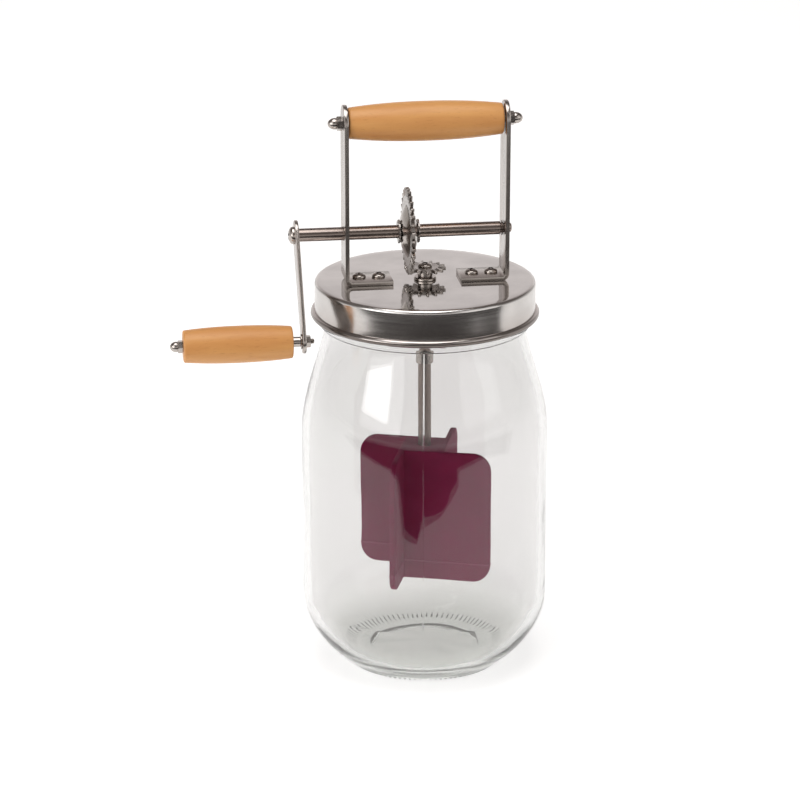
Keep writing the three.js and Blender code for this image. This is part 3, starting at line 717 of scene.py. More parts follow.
def acorn_nut(flats, height, length):
    """A domed cap nut that stands on z = 0."""
    radius, neck = flats * 0.46, height + 0.15 * MM
    waist = radius * 0.92
    dome = [(0, height * 0.5), (waist, height * 0.5), (waist, height), (radius, neck + 0.25 * MM)]
    dome += arc(0, neck + 0.5 * MM, radius, 0, 90, 10, tall=length - neck - 0.5 * MM)
    dome[-1] = (0, length)
    return joined(chamfered_hexagon(flats, height), turned(dome, 40))


def barrel(length, end, middle, rounding, bore):
    """A wooden grip on the Z axis from z = 0, fuller in the middle, bored through."""
    side = []
    for i in range(25):
        along = i / 24
        bulge = 1 - abs(2 * along - 1) ** 2.2
        side.append((end + (middle - end) * bulge, rounding + (length - 2 * rounding) * along))
    low = arc(end - rounding, rounding, rounding, -90, -15, 4)
    high = arc(end - rounding, length - rounding, rounding, 15, 90, 4)
    return turned([(bore, 0), *low, *side, *high, (bore, length)], 96)


# ---- Pieces ----


def heel(inset, floor, steps):
    """The jar's lower curve, outside or inset by the wall, from the flat bottom to the straight side."""
    flat = JAR_RADIUS - HEEL_RUN
    points = []
    for i in range(steps + 1):
        angle = math.pi / 2 * i / steps
        out = math.sin(angle) ** (2 / HEEL_POWER)
        up = 1 - max(0.0, math.cos(angle)) ** (2 / HEEL_POWER)
        points.append((flat + (HEEL_RUN - inset) * out, floor + (HEEL_RISE - floor) * up))
    return points


def shoulder(inset, steps):
    """The jar's upper curve from the straight side to the neck."""
    drop = JAR_RADIUS - NECK_RADIUS
    start = JAR_HEIGHT - NECK_RISE - SHOULDER_RISE
    wave = math.pi * SHOULDER_WAVE
    points = []
    for i in range(steps + 1):
        share = (1 - math.cos(wave * i / steps)) / (1 - math.cos(wave))
        points.append((JAR_RADIUS - inset - drop * share, start + SHOULDER_RISE * i / steps))
    return points


def jar_profile(settings):
    """The section of the whole glass, up the outside and down the inside, and how many points are outside."""
    neck = JAR_HEIGHT - NECK_RISE
    throat = shoulder(settings.wall, 4)[-1][0]
    push_up = in_mm((0, 1.6), (8, 1.58), (14, 1.5), (19, 1.32), (22, 1.1), (23.6, 0.75), (24.6, 0.35))
    push_up += in_mm((25.4, 0.06), (26.4, 0))
    ring = arc(RIM_RADIUS, neck + 1.6 * MM, 1.5 * MM, -90, 90, 8)
    thread = [(RIM_RADIUS, neck + 5 * MM)]
    thread += arc(RIM_RADIUS - 0.1 * MM, neck + 7.5 * MM, 1.2 * MM, -90, 90, 6)
    top = arc(RIM_RADIUS - LIP, JAR_HEIGHT - LIP, LIP, 0, 90, 5)
    lip = arc(throat + LIP, JAR_HEIGHT - LIP, LIP, 90, 180, 5)
    shoulder_foot = shoulder(0, 4)[0][1]
    levels = [HEEL_RISE + (shoulder_foot - HEEL_RISE) * i / 8 for i in range(1, 8)]
    outside = push_up + heel(0, 0, 44) + [(JAR_RADIUS, z) for z in levels] + shoulder(0, 20)
    outside += ring + thread + top
    inner = JAR_RADIUS - settings.wall
    down = heel(settings.wall, settings.floor, 22) + [(inner, z) for z in levels]
    down += shoulder(settings.wall, 20)
    floor = in_mm((26, -0.05), (24, 0.05), (20, 0.45), (14, 0.8), (7, 0.95), (0, 1.0), z=settings.floor)
    return outside + lip + list(reversed(down)) + floor, len(outside)


def hump(value, low, high):
    """A smooth rise and fall between two limits: 0 at both and 1 half-way."""
    return math.sin(math.pi * (value - low) / (high - low))


def inside_of_glass(settings, direction, radius, height):
    """A point of the jar's inside, moved: the side ripples, less so high up, and the floor waves."""
    if 9 * MM < height < JAR_HEIGHT - 20 * MM:
        at = direction * 1.6 + Vector((0, 0, height / (45 * MM)))
        calm = min(1.0, max(0.3, (130 * MM - height) / (40 * MM)))
        radius += calm * settings.ripple * (noise.noise(at) + 0.5 * noise.noise(at * 2.3))
    floor_edge = 34 * MM
    if radius < floor_edge and height < 9 * MM:
        fade = min(1.0, (floor_edge - radius) / (6 * MM))
        height += 0.6 * MM * noise.noise(direction * radius / (9 * MM)) * fade
    return radius, height


def outside_of_glass(settings, angle, direction, radius, height):
    """A point of the jar's outside, moved: mould seams, a slight wander, the ribs and their bead."""
    if 3.5 * MM < height < JAR_HEIGHT - 18 * MM:
        away = min(abs(math.atan2(math.sin(angle - s), math.cos(angle - s))) for s in SEAMS)
        radius += SEAM_HEIGHT * max(0.0, 1 - away / SEAM_HALF)
        radius -= 0.04 * MM * (0.5 + noise.noise(direction * 2.1 + Vector((4, 2, height / (60 * MM)))))
    if RIBS[0] < radius < RIBS[1] and height < 6 * MM:
        height -= RIB_HEIGHT * max(0.0, math.cos(settings.stipples * angle)) * hump(radius, *RIBS)
    if BEAD[0] < radius < BEAD[1] and height < 8 * MM:
        height -= BEAD_HEIGHT * hump(radius, *BEAD)
    return radius, height


def glass_jar(settings):
    """The jar as one closed shell, with two upright mould seams, standing ribs and a rippled inside."""
    profile, outside_count = jar_profile(settings)
    even = 384  # upright rows of points all round, besides those at the seams
    stops = {round(2 * math.pi * i / even, 6) for i in range(even)}
    for seam in SEAMS:
        stops |= {round((seam + math.radians(d)) % (2 * math.pi), 6) for d in (-0.32, -0.16, 0, 0.16, 0.32)}
    stops = sorted(stops)
    faces = turned(profile, len(stops))[1]
    placed = []
    for index, (radius, height) in enumerate(profile):
        for angle in stops if radius > 1e-7 else [0.0]:
            direction = Vector((math.cos(angle), math.sin(angle), 0))
            if index < outside_count:
                out, up = outside_of_glass(settings, angle, direction, radius, height)
            else:
                out, up = inside_of_glass(settings, direction, radius, height)
            placed.append(tuple(direction * out + Vector((0, 0, up))))
    return mesh_of("glass_jar", (placed, faces))


def lid_mesh(settings, top_steel, skirt_steel):
    """The lid as one closed shell: mirror top, turned skirt, curled edge."""
    outer = CURL_RADIUS_OUT - settings.curl - 0.3 * MM
    inner = outer - settings.sheet
    curl_z = LID_FOOT + settings.curl
    under = LID_TOP - settings.sheet
    hole = 4.4 * MM
    curl = arc(CURL_RADIUS_OUT - settings.curl, curl_z, settings.curl, 205, 460, 18)
    outside = arc(outer - settings.edge, LID_TOP - settings.edge, settings.edge, 0, 90, 8)
    small = settings.edge - settings.sheet
    inside = arc(inner - small, under - small, small, 90, 0, 5)
    flat = [(r * MM, LID_TOP) for r in (44, 36, 24, 12)]
    skirt = [(outer, curl_z + h * MM) for h in (1.9, 4, 7, 10)]
    profile = [*curl, *skirt, *outside, *flat, (hole, LID_TOP), (hole, under), *inside]
    profile.append((inner, curl_z + 1.9 * MM))
    mesh = mesh_of("lid", turned(profile, 192))
    mesh.materials.append(skirt_steel)
    mesh.materials.append(top_steel)
    for polygon in mesh.polygons:
        polygon.material_index = int(polygon.center.z > LID_TOP - 0.05 * MM and polygon.normal.z > 0.9)
    return mesh


def bracket(sign):
    """A bracket: an upright strip with a round top, bent inwards into a foot. sign is its side of the lid."""
    low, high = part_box("right_bracket")
    width, sheet, bend = high.y - low.y, 1.8 * MM, 3 * MM
    outer, foot = high.x, low.x
    section = [(foot, low.z), (outer - bend, low.z), *arc(outer - bend, low.z + bend, bend, -90, 0, 12)[1:]]
    section += [(outer, high.z), (outer - sheet, high.z), (outer - sheet, low.z + bend)]
    section += arc(outer - bend, low.z + bend, bend - sheet, 0, -90, 8)[1:]
    section += [(foot, low.z + sheet)]
    strip = shifted(moved(slab(section, width), Matrix.Rotation(math.pi / 2, 4, "X")), y=width / 2)
    half = width / 2
    front = [(-half, low.z - MM), (half, low.z - MM), *arc(0, high.z - half, half, 0, 180, 36)]
    outline = shifted(stood_up(slab(front, outer * 2)), x=-MM)
    kept = shape_of(carved(strip, [outline], "INTERSECT"))
    bores = []
    rod_hole = 1.75 * MM
    shaft_hole = SHAFT_RADIUS + 0.25 * MM if sign < 0 else 2.35 * MM  # the right one takes the thin end
    for radius, z in ((rod_hole, HANDLE_Z), (shaft_hole, SHAFT_Z)):
        hole = turned([(0, 0), (radius, 0), (radius, outer + MM), (0, outer + MM)], 40)
        bores.append(shifted(along_x(hole), z=z))
    mesh = carved(kept, bores)
    if sign < 0:
        mesh.transform(Matrix.Rotation(math.pi, 4, "Z"))
    return mesh


def toothed_wheel(name, teeth, root, tip, foot, crest, thickness, hub, start, material):
    """A stamped toothed disc on the Z axis from z = 0, its teeth copied round it by Geometry Nodes."""
    bore = [(hub, 0.05 * MM), (hub + 0.2 * MM, 0), (root, 0), (root, thickness)]
    bore += [(hub + 0.2 * MM, thickness), (hub, thickness - 0.05 * MM)]
    inner = root - 0.5 * MM
    side = [(inner, foot / 2), (root, foot / 2), (tip - 0.35 * MM, crest / 2 + 0.06 * MM)]
    side += [(tip - 0.1 * MM, crest / 2 - 0.08 * MM), (tip, crest / 2 - 0.3 * MM)]
    outline = [(x, -y) for x, y in side] + list(reversed(side))
    tooth = shape_of(softened(mesh_of("tooth", slab(outline, thickness)), 0.22 * MM, 2, 30))
    return ring_of(name, turned(bore, 128), tooth, teeth, start, material)


def gear_dish(radius, height, sheet):
    """A domed side plate of the drive gear, its rim on z = 0."""
    hole = SHAFT_RADIUS + 0.1 * MM
    outer = []
    for i in range(17):
        r = radius + (hole - radius) * i / 16
        outer.append((r, height * (1 - (r / radius) ** 2.4)))
    inner = [(max(hole, r - 0.8 * sheet), max(0.0, h - sheet)) for r, h in reversed(outer[1:])]
    return turned([*outer, *inner, (radius - 1.6 * sheet, 0)], 96)


def pinwheel(settings):
    """The dasher as one closed shape, and the raised line that its mould left round the blades.

    Each blade runs on from one side of the square hub, which is turned by lean.
    """
    half, thick, corner = settings.hub / 2, settings.blade, settings.corner
    tall = PADDLE_TOP - PADDLE_FOOT
    lean = -math.radians(18.5)  # turn of the dasher at rest
    reach = (span("paddle", 0)[1] - (half - thick) * math.sin(lean)) / math.cos(lean)
    end = arc(reach - corner, corner, corner, -90, 0, 14)
    end += arc(reach - corner, tall - corner, corner, 0, 90, 14)
    count = len(end)
    outer, inner, root = -half, thick - half, half
    vertices, faces = [], []
    for k in range(4):
        turn = Matrix.Rotation(lean + k * math.pi / 2, 4, "Z")
        points = [(x, outer, z) for x, z in end] + [(x, inner, z) for x, z in end]
        points += [(root, inner, 0), (root, inner, tall)]
        vertices += [tuple(turn @ Vector(point)) for point in points]
    size = 2 * count + 2
    top, bottom = [], []
    for k in range(4):
        first, last = size * k, size * ((k + 3) % 4)
        outside = [first + i for i in range(count)]
        inside = [first + count + i for i in range(count)]
        foot, head = first + 2 * count, first + 2 * count + 1
        faces.append([last + 2 * count, *outside, last + 2 * count + 1])
        faces.append([head, *reversed(inside), foot])
        faces += [[inside[i], inside[i + 1], outside[i + 1], outside[i]] for i in range(count - 1)]
        top += [outside[-1], inside[-1], head]
        bottom += [outside[0], inside[0], foot]
    faces += [top, list(reversed(bottom))]
    body = shifted((vertices, faces), z=PADDLE_FOOT)
    ridge, proud = 0.35 * MM, 0.18 * MM
    strip = [(-half - proud, -half - proud), (reach + proud, -half - proud)]
    strip += [(reach + proud, thick - half + proud), (half, thick - half + proud), (-half - proud, 0)]
    strip = shifted(slab(strip, ridge), z=PADDLE_FOOT + settings.seam - ridge / 2)
    line = [moved(strip, Matrix.Rotation(lean + k * math.pi / 2, 4, "Z")) for k in range(4)]
    return body, joined(*line)


# ---- Operators ----


class CHURN_OT_jar(bpy.types.Operator):
    """Build the glass jar"""

    bl_idname = "churn.jar"
    bl_label = "Glass jar"

    def execute(self, context):
        settings = context.scene.churn_jar
        glass = moulded_glass(settings)
        piece("jar", glass_jar(settings), glass, "jar", ["glass_jar"], sharp=60)
        return {"FINISHED"}


class CHURN_OT_lid(bpy.types.Operator):
    """Build the lid and paint its seal"""

    bl_idname = "churn.lid"
    bl_label = "Lid and seal"

    def execute(self, context):
        settings = context.scene.churn_lid
        mesh = lid_mesh(settings, rolled_steel(settings), turned_steel(settings))
        piece("lid_cap", mesh, None, "lid", ["lid"], sharp=40)
        paint_node("lid_seal", seal_silicone(settings))
        return {"FINISHED"}


class CHURN_OT_brackets(bpy.types.Operator):
    """Build the two brackets"""

    bl_idname = "churn.brackets"
    bl_label = "Brackets"

    def execute(self, context):
        settings = context.scene.churn_hardware
        material = brushed_strip(settings)
        for side, sign in SIDES:
            name = f"{side}_bracket_strip"
            nodes = [f"{side}_bracket"]
            piece(name, bracket(sign), material, "lid", nodes, soften=settings.softened)
        return {"FINISHED"}


class CHURN_OT_screws(bpy.types.Operator):
    """Build the bracket screws and paint the nuts under the lid"""

    bl_idname = "churn.screws"
    bl_label = "Bracket screws"

    def execute(self, context):
        settings = context.scene.churn_hardware
        names = [f"{side}_{at}_bracket" for side in ("left", "right") for at in ("outer", "inner")]
        low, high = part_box(names[0] + "_screw")
        radius, head, shank_radius = (high.x - low.x) / 2, 1.9 * MM, 1.4 * MM
        spots = [centre(name + "_screw").xy.to_3d() + Vector((0, 0, high.z - head)) for name in names]
        foot = low.z - high.z + head
        shank = turned([(0, foot), (shank_radius, foot), (shank_radius, 0), (0, 0)], 24)
        screw = joined(domed_head(radius, head, settings.cross, 1.0 * MM), shank)
        source = new_object("screw_copy", mesh_of("screw_copy", screw))
        points = bpy.data.meshes.new("screw_spots")
        points.from_pydata(spots, [], [])
        material = plated_steel(settings)
        values = {"Copy": source, "Seed": 4, "Material": material}
        mesh = grown(once("copies_on_spots", spots_group), points, values, "bracket_screws")
        bpy.data.objects.remove(source)
        nodes = [name + "_screw" for name in names]
        piece("bracket_screws", mesh, material, "lid", nodes)
        for name in [*[n + "_nut" for n in names], "bearing_nut"]:
            paint_node(name, material)
        return {"FINISHED"}


class CHURN_OT_carry_handle(bpy.types.Operator):
    """Build the wooden carry grip and the cap nuts of its rod"""

    bl_idname = "churn.carry_handle"
    bl_label = "Carry handle"

    def execute(self, context):
        wood, hardware = context.scene.churn_wood, context.scene.churn_hardware
        low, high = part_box("carry_grip")
        end, middle, bore = 6.8 * MM, (high.z - low.z) / 2, 1.8 * MM
        grip = barrel(high.x - low.x, end, middle, wood.rounding, bore)
        grip = laid(grip, low.x, HANDLE_Z)
        piece("carry_grip_wood", grip, turned_beech(wood), "carry_grip", ["carry_grip"])
        material = plated_steel(hardware)
        for side, sign in SIDES:
            node = f"{side}_carry_acorn_nut"
            near, far = span(node, 0)
            nut = acorn_nut(5.5 * MM, 2.6 * MM, far - near)
            nut = laid(nut, near if sign > 0 else far, HANDLE_Z, sign)
            piece(f"{side}_handle_cap_nut", nut, material, "lid", [node])
        paint_node("carry_rod", material)
        return {"FINISHED"}


class CHURN_OT_crank_shaft(bpy.types.Operator):
    """Build the crank shaft with its collar"""

    bl_idname = "churn.crank_shaft"
    bl_label = "Crank shaft"

    def execute(self, context):
        settings = context.scene.churn_hardware
        low, high = span("crank_shaft", 0)
        collar_low, collar_high = span("shaft_collar", 0)
        radius, spigot, collar_radius = SHAFT_RADIUS, 2.1 * MM, 3.3 * MM
        end = arc(0, high - 0.9 * MM, spigot, 0, 90, 7, tall=0.9 * MM)
        end[-1] = (0, high)
        profile = [(0, low), (radius - 0.3 * MM, low), (radius, low + 0.3 * MM)]
        profile += [(radius, collar_low - 0.6 * MM), (radius - 0.25 * MM, collar_low - 0.35 * MM)]
        profile += [(spigot, collar_low - 0.2 * MM), *end]
        ring = ring_section(spigot + 0.1 * MM, collar_radius, collar_low, collar_high, 0.2 * MM, 0.15 * MM)
        both = laid(joined(turned(profile, 64), turned(ring, 64)), 0, SHAFT_Z)
        nodes = ["crank_shaft", "shaft_collar"]
        piece("crank_shaft_rod", both, drawn_rod(settings), "crank", nodes)
        return {"FINISHED"}


class CHURN_OT_drive_gear(bpy.types.Operator):
    """Build the drive gear, its two dishes and the two notched washers"""

    bl_idname = "churn.drive_gear"
    bl_label = "Drive gear"

    def execute(self, context):
        gears, hardware = context.scene.churn_gears, context.scene.churn_hardware
        material = stamped_steel(hardware)
        low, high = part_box("drive_gear")
        tip = (high.z - low.z) / 2 + 0.01 * MM
        root, crest, thickness = tip - 3.3 * MM, 0.95 * MM, high.x - low.x
        sizes = (gears.tooth, crest, thickness, SHAFT_RADIUS + 0.1 * MM, 0.0, material)
        mesh = toothed_wheel("drive_gear_wheel", gears.gear_teeth, root, tip, *sizes)
        self.put_on_shaft(mesh, low.x)
        piece("drive_gear_wheel", mesh, material, "crank", ["drive_gear"])
        bright = plated_steel(hardware)
        for side, sign in SIDES:
            near, far = span(f"{side}_gear_dish", 0)
            dish = gear_dish(gears.dish, far - near + 0.25 * MM, 0.9 * MM)
            dish = laid(dish, near if sign > 0 else far, SHAFT_Z, sign)
            piece(f"{side}_dished_plate", dish, bright, "crank", [f"{side}_gear_dish"])
            near, far = span(f"{side}_star_washer", 0)
            self.washer(side, near, far, gears.washer_lugs, material)
        return {"FINISHED"}

    def put_on_shaft(self, mesh, x):
        mesh.transform(Matrix.Translation((x, 0, SHAFT_Z)) @ Matrix.Rotation(math.pi / 2, 4, "Y"))

    def washer(self, side, near, far, lugs, material):
        """A thin washer with lugs round its edge."""
        hole, body, tip, thickness = SHAFT_RADIUS + 0.05 * MM, 4.2 * MM, 5.2 * MM, far - near
        ring = [(hole, 0), (body, 0), (body, thickness), (hole, thickness)]
        lug = [(body - 0.4 * MM, -1.3 * MM), (tip - 0.3 * MM, -1.15 * MM), (tip, -0.7 * MM)]
        outline = lug + [(x, -y) for x, y in reversed(lug)]
        mesh = ring_of("washer", turned(ring, 64), slab(outline, thickness), lugs, 0.0, material)
        self.put_on_shaft(mesh, near)
        node = f"{side}_star_washer"
        piece(f"{side}_notched_washer", mesh, material, "crank", [node])


class CHURN_OT_crank(bpy.types.Operator):
    """Build the crank arm with its screw, spacer, washer and nuts"""

    bl_idname = "churn.crank"
    bl_label = "Crank arm"

    def execute(self, context):
        settings = context.scene.churn_hardware
        outer, inner = span("crank_arm", 0)
        wide, narrow = 6.6 * MM, 5.2 * MM
        lean = math.degrees(math.asin((wide - narrow) / THROW))
        outline = arc(0, 0, wide, -lean, 180 + lean, 28) + arc(0, -THROW, narrow, 180 + lean, 360 - lean, 24)
        arm = hung(shifted(stood_up(slab(outline, inner - outer)), x=outer))
        strip = brushed_strip(settings)
        piece("crank_arm_bar", arm, strip, "crank", ["crank_arm"], soften=0.35 * MM)
        bright = plated_steel(settings)

        low = span("crank_arm_screw", 0)[0]
        head = outer - low - 0.1 * MM
        radius, cross, depth = 3.85 * MM, 4.2 * MM, 1.3 * MM
        screw = domed_head(radius, head, cross, depth)
        screw = hung(laid(screw, outer - 0.05 * MM, 0, -1))
        piece("crank_arm_domed_screw", screw, bright, "crank", ["crank_arm_screw"])

        near, far = span("crank_grip_acorn_nut", 0)
        shapes = [laid(acorn_nut(5 * MM, 2.2 * MM, far - near), far, 0, -1)]
        near, far = span("crank_hex_nut", 0)
        shapes.append(laid(chamfered_hexagon(4.8 * MM, far - near, 1.25 * MM), near, 0))
        bore, edge = 1.3 * MM, 0.12 * MM
        for node, radius in (("crank_spacer", 2.2 * MM), ("crank_washer", 3.3 * MM)):
            shapes.append(along_x(turned(ring_section(bore, radius, *span(node, 0), edge, edge), 48)))
        near, far = span("crank_stud", 0)
        shapes.append(along_x(turned(self.threaded(near, far), 40)))
        fittings = hung(shifted(joined(*shapes), z=-THROW))
        nodes = ["crank_grip_acorn_nut", "crank_hex_nut", "crank_spacer", "crank_washer", "crank_stud"]
        piece("crank_grip_fittings", fittings, bright, "crank", nodes)
        return {"FINISHED"}

    def threaded(self, near, far):
        """The stud's section: plain, with thread crests on the stretch that stands out of the nut."""
        radius, pitch, count = 1.2 * MM, 0.45 * MM, 8
        profile = [(0, near), (radius, near), (radius, far - pitch * count - 0.2 * MM)]
        for i in range(count):
            z = far - 0.2 * MM - pitch * (count - i)
            profile += [(radius - 0.22 * MM, z), (radius, z + pitch * 0.5)]
        return profile + [(radius - 0.25 * MM, far - 0.2 * MM), (radius - 0.5 * MM, far), (0, far)]


class CHURN_OT_crank_grip(bpy.types.Operator):
    """Build the wooden grip of the crank"""

    bl_idname = "churn.crank_grip"
    bl_label = "Crank grip"

    def execute(self, context):
        wood = context.scene.churn_wood
        low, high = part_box("crank_grip")
        end, middle, bore = 7 * MM, 8 * MM, 1.5 * MM
        grip = barrel(high.x - low.x, end, middle, wood.rounding, bore)
        grip = hung(laid(grip, low.x, -THROW))
        piece("crank_grip_wood", grip, turned_beech(wood), "crank_grip", ["crank_grip"])
        return {"FINISHED"}


class CHURN_OT_pinion(bpy.types.Operator):
    """Build the pinion with its neck and screw"""

    bl_idname = "churn.pinion"
    bl_label = "Pinion"

    def execute(self, context):
        gears, hardware = context.scene.churn_gears, context.scene.churn_hardware
        material = stamped_steel(hardware)
        low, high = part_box("pinion_gear")
        bore, thickness, tooth, crest = 2.1 * MM, 1.6 * MM, 1.25 * MM, 1.0 * MM
        tip = (high.y - low.y) / 2 + 0.05 * MM
        root = tip - 2.9 * MM
        start = math.pi + math.pi / gears.pinion_teeth
        sizes = (tooth, crest, thickness, bore, start, material)
        wheel = toothed_wheel("pinion_wheel", gears.pinion_teeth, root, tip, *sizes)
        seat = high.z - thickness
        neck = [(bore, low.z), (3.1 * MM, low.z), (3.3 * MM, low.z + 0.2 * MM), (3.3 * MM, seat)]
        neck += [(3.6 * MM, seat + 0.1 * MM), (bore, seat + 0.2 * MM)]
        both = joined(shifted(shape_of(wheel), z=seat), turned(neck, 64))
        piece("pinion_wheel", both, material, "dasher", ["pinion_gear"])
        top = span("pinion_screw", 2)[1]
        radius, dome, cross, depth = 3.05 * MM, 0.72 * (top - high.z), 3.3 * MM, 0.9 * MM
        head = domed_head(radius, dome, cross, depth)
        turn_of_cross = Matrix.Rotation(0.5, 4, "Z")
        head = moved(shifted(head, z=high.z), turn_of_cross)
        piece("pinion_domed_screw", head, plated_steel(hardware), "dasher", ["pinion_screw"])
        return {"FINISHED"}


class CHURN_OT_dasher_shaft(bpy.types.Operator):
    """Build the dasher's shaft and the sleeve that guides it"""

    bl_idname = "churn.dasher_shaft"
    bl_label = "Dasher shaft"

    def execute(self, context):
        settings = context.scene.churn_hardware
        low, high = span("dasher_shaft", 2)
        radius = span("dasher_shaft", 0)[1]
        foot, top = span("bearing_sleeve", 2)
        step, spigot = top + 0.25 * MM, 1.9 * MM
        profile = [(0, low), (radius, low), (radius, step), (spigot, step), (spigot, high), (0, high)]
        rod = turned(profile, 64)
        piece("dasher_rod", rod, drawn_upright_rod(settings), "dasher", ["dasher_shaft"])
        bore, wall, flange = radius + 0.25 * MM, 0.75 * MM, 4.9 * MM
        outer = bore + wall
        seat = LID_TOP + 0.1 * MM
        sleeve = [(bore, foot), (outer - 0.2 * MM, foot), (outer, foot + 0.25 * MM), (outer, seat)]
        sleeve += [(flange - 0.15 * MM, seat), (flange, seat + 0.15 * MM), (flange, top - 0.3 * MM)]
        sleeve += [(flange - 0.3 * MM, top), (bore, top)]
        sleeve = turned(sleeve, 64)
        piece("shaft_sleeve", sleeve, plated_steel(settings), "lid", ["bearing_sleeve"])
        return {"FINISHED"}


class CHURN_OT_paddle(bpy.types.Operator):
    """Build the silicone dasher"""

    bl_idname = "churn.paddle"
    bl_label = "Dasher"

    def execute(self, context):
        settings = context.scene.churn_dasher
        material = moulded_silicone("silicone_moulded_burgundy", settings.silicone, "#982a58")
        # The flash along the parting line is real; its lighter pink, a lighter copy of the silicone, is a
        # painted highlight.
        flash_painted_highlight = moulded_silicone("silicone_flash_painted_highlight", "#a8456c", "#b85a80")
        body, line = pinwheel(settings)
        radius = span("dasher_shaft", 0)[1] + 0.05 * MM
        socket_foot, above = 48 * MM, PADDLE_TOP + MM
        bore = turned([(0, socket_foot), (radius, socket_foot), (radius, above), (0, above)], 48)
        rounding, steps, sharp = 0.45 * MM, 3, 32
        softer = softened(mesh_of("body", body), rounding, steps, sharp)
        mesh = carved(shape_of(softer), [bore])
        piece("dasher_paddle", mesh, material, "dasher", ["paddle"])
        piece("paddle_parting_line", line, flash_painted_highlight, "dasher", ["paddle"])
        return {"FINISHED"}


def area_light(name, azimuth, elevation, distance, width, height, radiance, tint="#ffffff"):
    """A softbox seen from the object at an azimuth (0 is the camera's side) and elevation, in degrees.

    It faces the middle of the churn from this distance, in metres, as are its width and height.
    """
    aim = 0.14  # height of the churn's middle
    a, e = math.radians(azimuth), math.radians(elevation)
    data = bpy.data.lights.new(name, "AREA")
    data.shape = "RECTANGLE"
    data.size, data.size_y = width, height
    data.energy = radiance * math.pi * width * height
    data.color = linear(tint)[:3]
    made = bpy.data.objects.new(name, data)
    direction = Vector((math.sin(a) * math.cos(e), -math.cos(a) * math.cos(e), math.sin(e)))
    made.location = direction * distance + Vector((0, 0, aim))
    made.rotation_euler = direction.to_track_quat("Z", "Y").to_euler()
    bpy.context.scene.collection.objects.link(made)


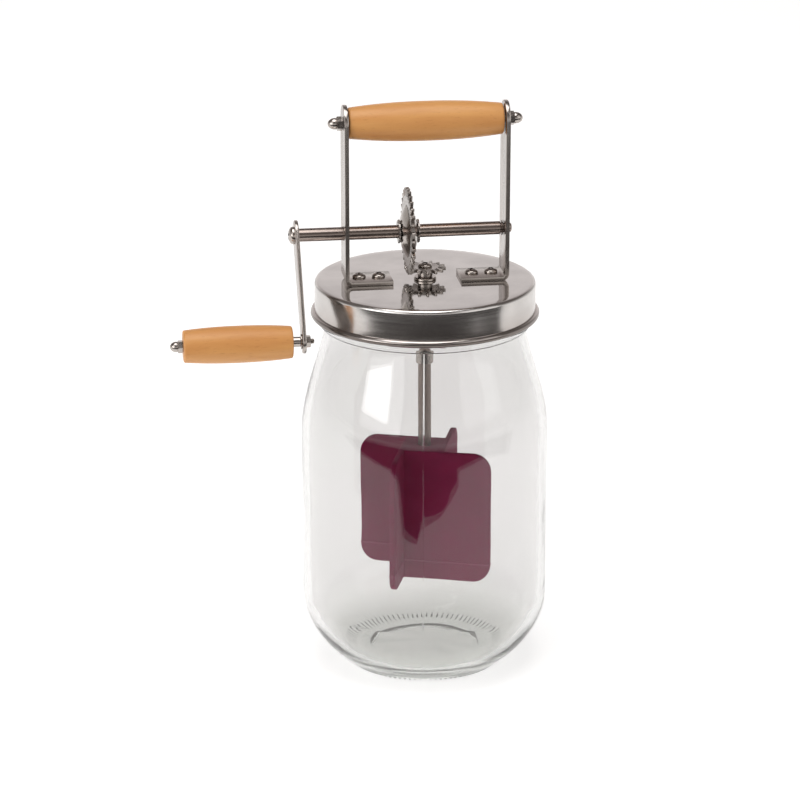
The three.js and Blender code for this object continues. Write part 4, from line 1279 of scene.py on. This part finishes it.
class CHURN_OT_stage(bpy.types.Operator):
    """Set up the camera, the floor and the softboxes"""

    bl_idname = "churn.stage"
    bl_label = "Stage"

    def execute(self, context):
        settings = context.scene.churn_stage
        self.camera(context, settings)
        self.floor(settings)
        self.lights(context)
        self.flag(settings)
        context.scene.view_settings.view_transform = "Standard"
        return {"FINISHED"}

    def camera(self, context, settings):
        data = bpy.data.cameras.new("camera")
        data.lens = settings.lens
        data.sensor_width = 36
        data.clip_end = 50
        made = bpy.data.objects.new("camera", data)
        swing = Matrix.Rotation(settings.turn, 4, "Z")
        made.location = swing @ Vector((-settings.aside, -settings.distance, settings.height))
        made.rotation_euler = Euler((math.pi / 2 - settings.pitch, 0, settings.turn))
        context.scene.collection.objects.link(made)
        context.scene.camera = made

    def floor(self, settings):
        """White paper that glows a little, so that it stays pale under the object."""
        half, low = 12, -0.1 * MM  # half its width, and how far it lies under the jar's foot, both in metres
        material, tree, shader = new_material("paper_seamless_white")
        fibre = spread(tree, grain(tree, place(tree), 3 * MM), 0.0, 0.1)
        inputs = {
            "Base Color": blend_colours(tree, fibre, linear(settings.floor), linear("#d2d2d1")),
            "Roughness": 0.9,
            "Specular IOR Level": 0.0,
            "Emission Color": (1, 1, 1, 1),
            "Emission Strength": 0.64,
        }
        fill(tree, shader, inputs)
        corners = [(-half, -half, low), (half, -half, low), (half, half, low), (-half, half, low)]
        mesh = mesh_of("floor", (corners, [(0, 1, 2, 3)]), recalculate=False)
        mesh.materials.append(material)
        new_object("floor", mesh)

    def lights(self, context):
        """Softboxes round the churn, under a sky that is bright at the horizon and dim above."""
        world = bpy.data.worlds.new("studio")
        world.use_nodes = True
        tree = world.node_tree
        where = add_node(tree, "ShaderNodeTexCoord").outputs["Generated"]
        share = spread(tree, height_of(tree, where), 0.0, 1.0, 0.12, 0.45)
        sky = blend_colours(tree, share, linear("#dcdad8"), linear("#6d6764"))
        tree.links.new(sky, tree.nodes["Background"].inputs["Color"])
        context.scene.world = world
        area_light("left_wall", -52, 24, 1.9, 1.5, 1.5, 1.35)
        area_light("left_softbox", -58, 11.5, 1.6, 0.8, 0.25, 4.5)
        area_light("right_wall", 50, 26, 1.9, 1.5, 1.5, 0.8)
        area_light("back_panel", 176, 24, 2.2, 2.6, 1.5, 0.42, "#f6eef0")
        area_light("overhead", -30, 80, 1.8, 1.4, 1.4, 3.2)

    def flag(self, settings):
        """A dark card on the table before the churn, hidden from the camera.

        It gives upright metal its dark reflections and dims undersides. Its ragged notch towards the jar
        shapes the clearer patch on the dasher. It is clear from below, so the paper under it stays lit.
        Sizes are in metres.
        """
        near, far, side, right_near, wing = -0.31, -1.6, 1.6, -0.09, 0.4
        outline = [(-side, far), (side, far), (side, right_near), (wing + 0.05, right_near), (wing, near)]
        outline += [(0.17, near), (0.15, -0.28), (0.05, -0.272), (-0.01, -0.265), (-0.03, -0.24)]
        outline += [(-0.08, -0.238), (-0.105, -0.27), (-0.14, near), (-wing, near), (-side, near)]
        corners = [(x, y, MM) for x, y in outline]
        mesh = mesh_of("dark_card", (corners, [tuple(range(len(corners)))]), recalculate=False)
        mesh.transform(Matrix.Rotation(settings.turn, 4, "Z"))
        material, tree, shader = new_material("card_dark_felt")
        felt = blend_colours(tree, grain(tree, place(tree), 40 * MM), linear("#262221"), linear("#332e2c"))
        fill(tree, shader, {"Base Color": felt, "Roughness": 1.0})
        under = add_node(tree, "ShaderNodeNewGeometry").outputs["Backfacing"]
        clear = add_node(tree, "ShaderNodeBsdfTransparent").outputs[0]
        mixed = add_node(tree, "ShaderNodeMixShader", {0: under, 1: shader.outputs[0], 2: clear}).outputs[0]
        tree.links.new(mixed, next(node for node in tree.nodes if node.type == "OUTPUT_MATERIAL").inputs[0])
        mesh.materials.append(material)
        made = new_object("dark_card", mesh)
        made.visible_camera = made.visible_shadow = False


class CHURN_PT_panel(bpy.types.Panel):
    """Lists the pieces of the churn"""

    bl_idname = "CHURN_PT_panel"
    bl_label = "Butter churn"
    bl_space_type = "VIEW_3D"
    bl_region_type = "UI"
    bl_category = "Churn"

    def draw(self, context):
        for operator in OPERATORS:
            self.layout.operator(operator.bl_idname)


SETTINGS = {
    "churn_jar": JarSettings,
    "churn_lid": LidSettings,
    "churn_hardware": HardwareSettings,
    "churn_gears": GearSettings,
    "churn_wood": WoodSettings,
    "churn_dasher": DasherSettings,
    "churn_stage": StageSettings,
}
OPERATORS = [
    CHURN_OT_stage,
    CHURN_OT_jar,
    CHURN_OT_lid,
    CHURN_OT_brackets,
    CHURN_OT_screws,
    CHURN_OT_carry_handle,
    CHURN_OT_crank_shaft,
    CHURN_OT_drive_gear,
    CHURN_OT_crank,
    CHURN_OT_crank_grip,
    CHURN_OT_pinion,
    CHURN_OT_dasher_shaft,
    CHURN_OT_paddle,
]


def register():
    for group in [*SETTINGS.values(), *OPERATORS, CHURN_PT_panel]:
        bpy.utils.register_class(group)
    for name, group in SETTINGS.items():
        setattr(bpy.types.Scene, name, bpy.props.PointerProperty(type=group))


def unregister():
    for name in SETTINGS:
        delattr(bpy.types.Scene, name)
    for group in reversed([*SETTINGS.values(), *OPERATORS, CHURN_PT_panel]):
        bpy.utils.unregister_class(group)


def main():
    register()
    for operator in OPERATORS:
        category, name = operator.bl_idname.split(".")
        getattr(getattr(bpy.ops, category), name)()


if __name__ == "__main__":
    main()
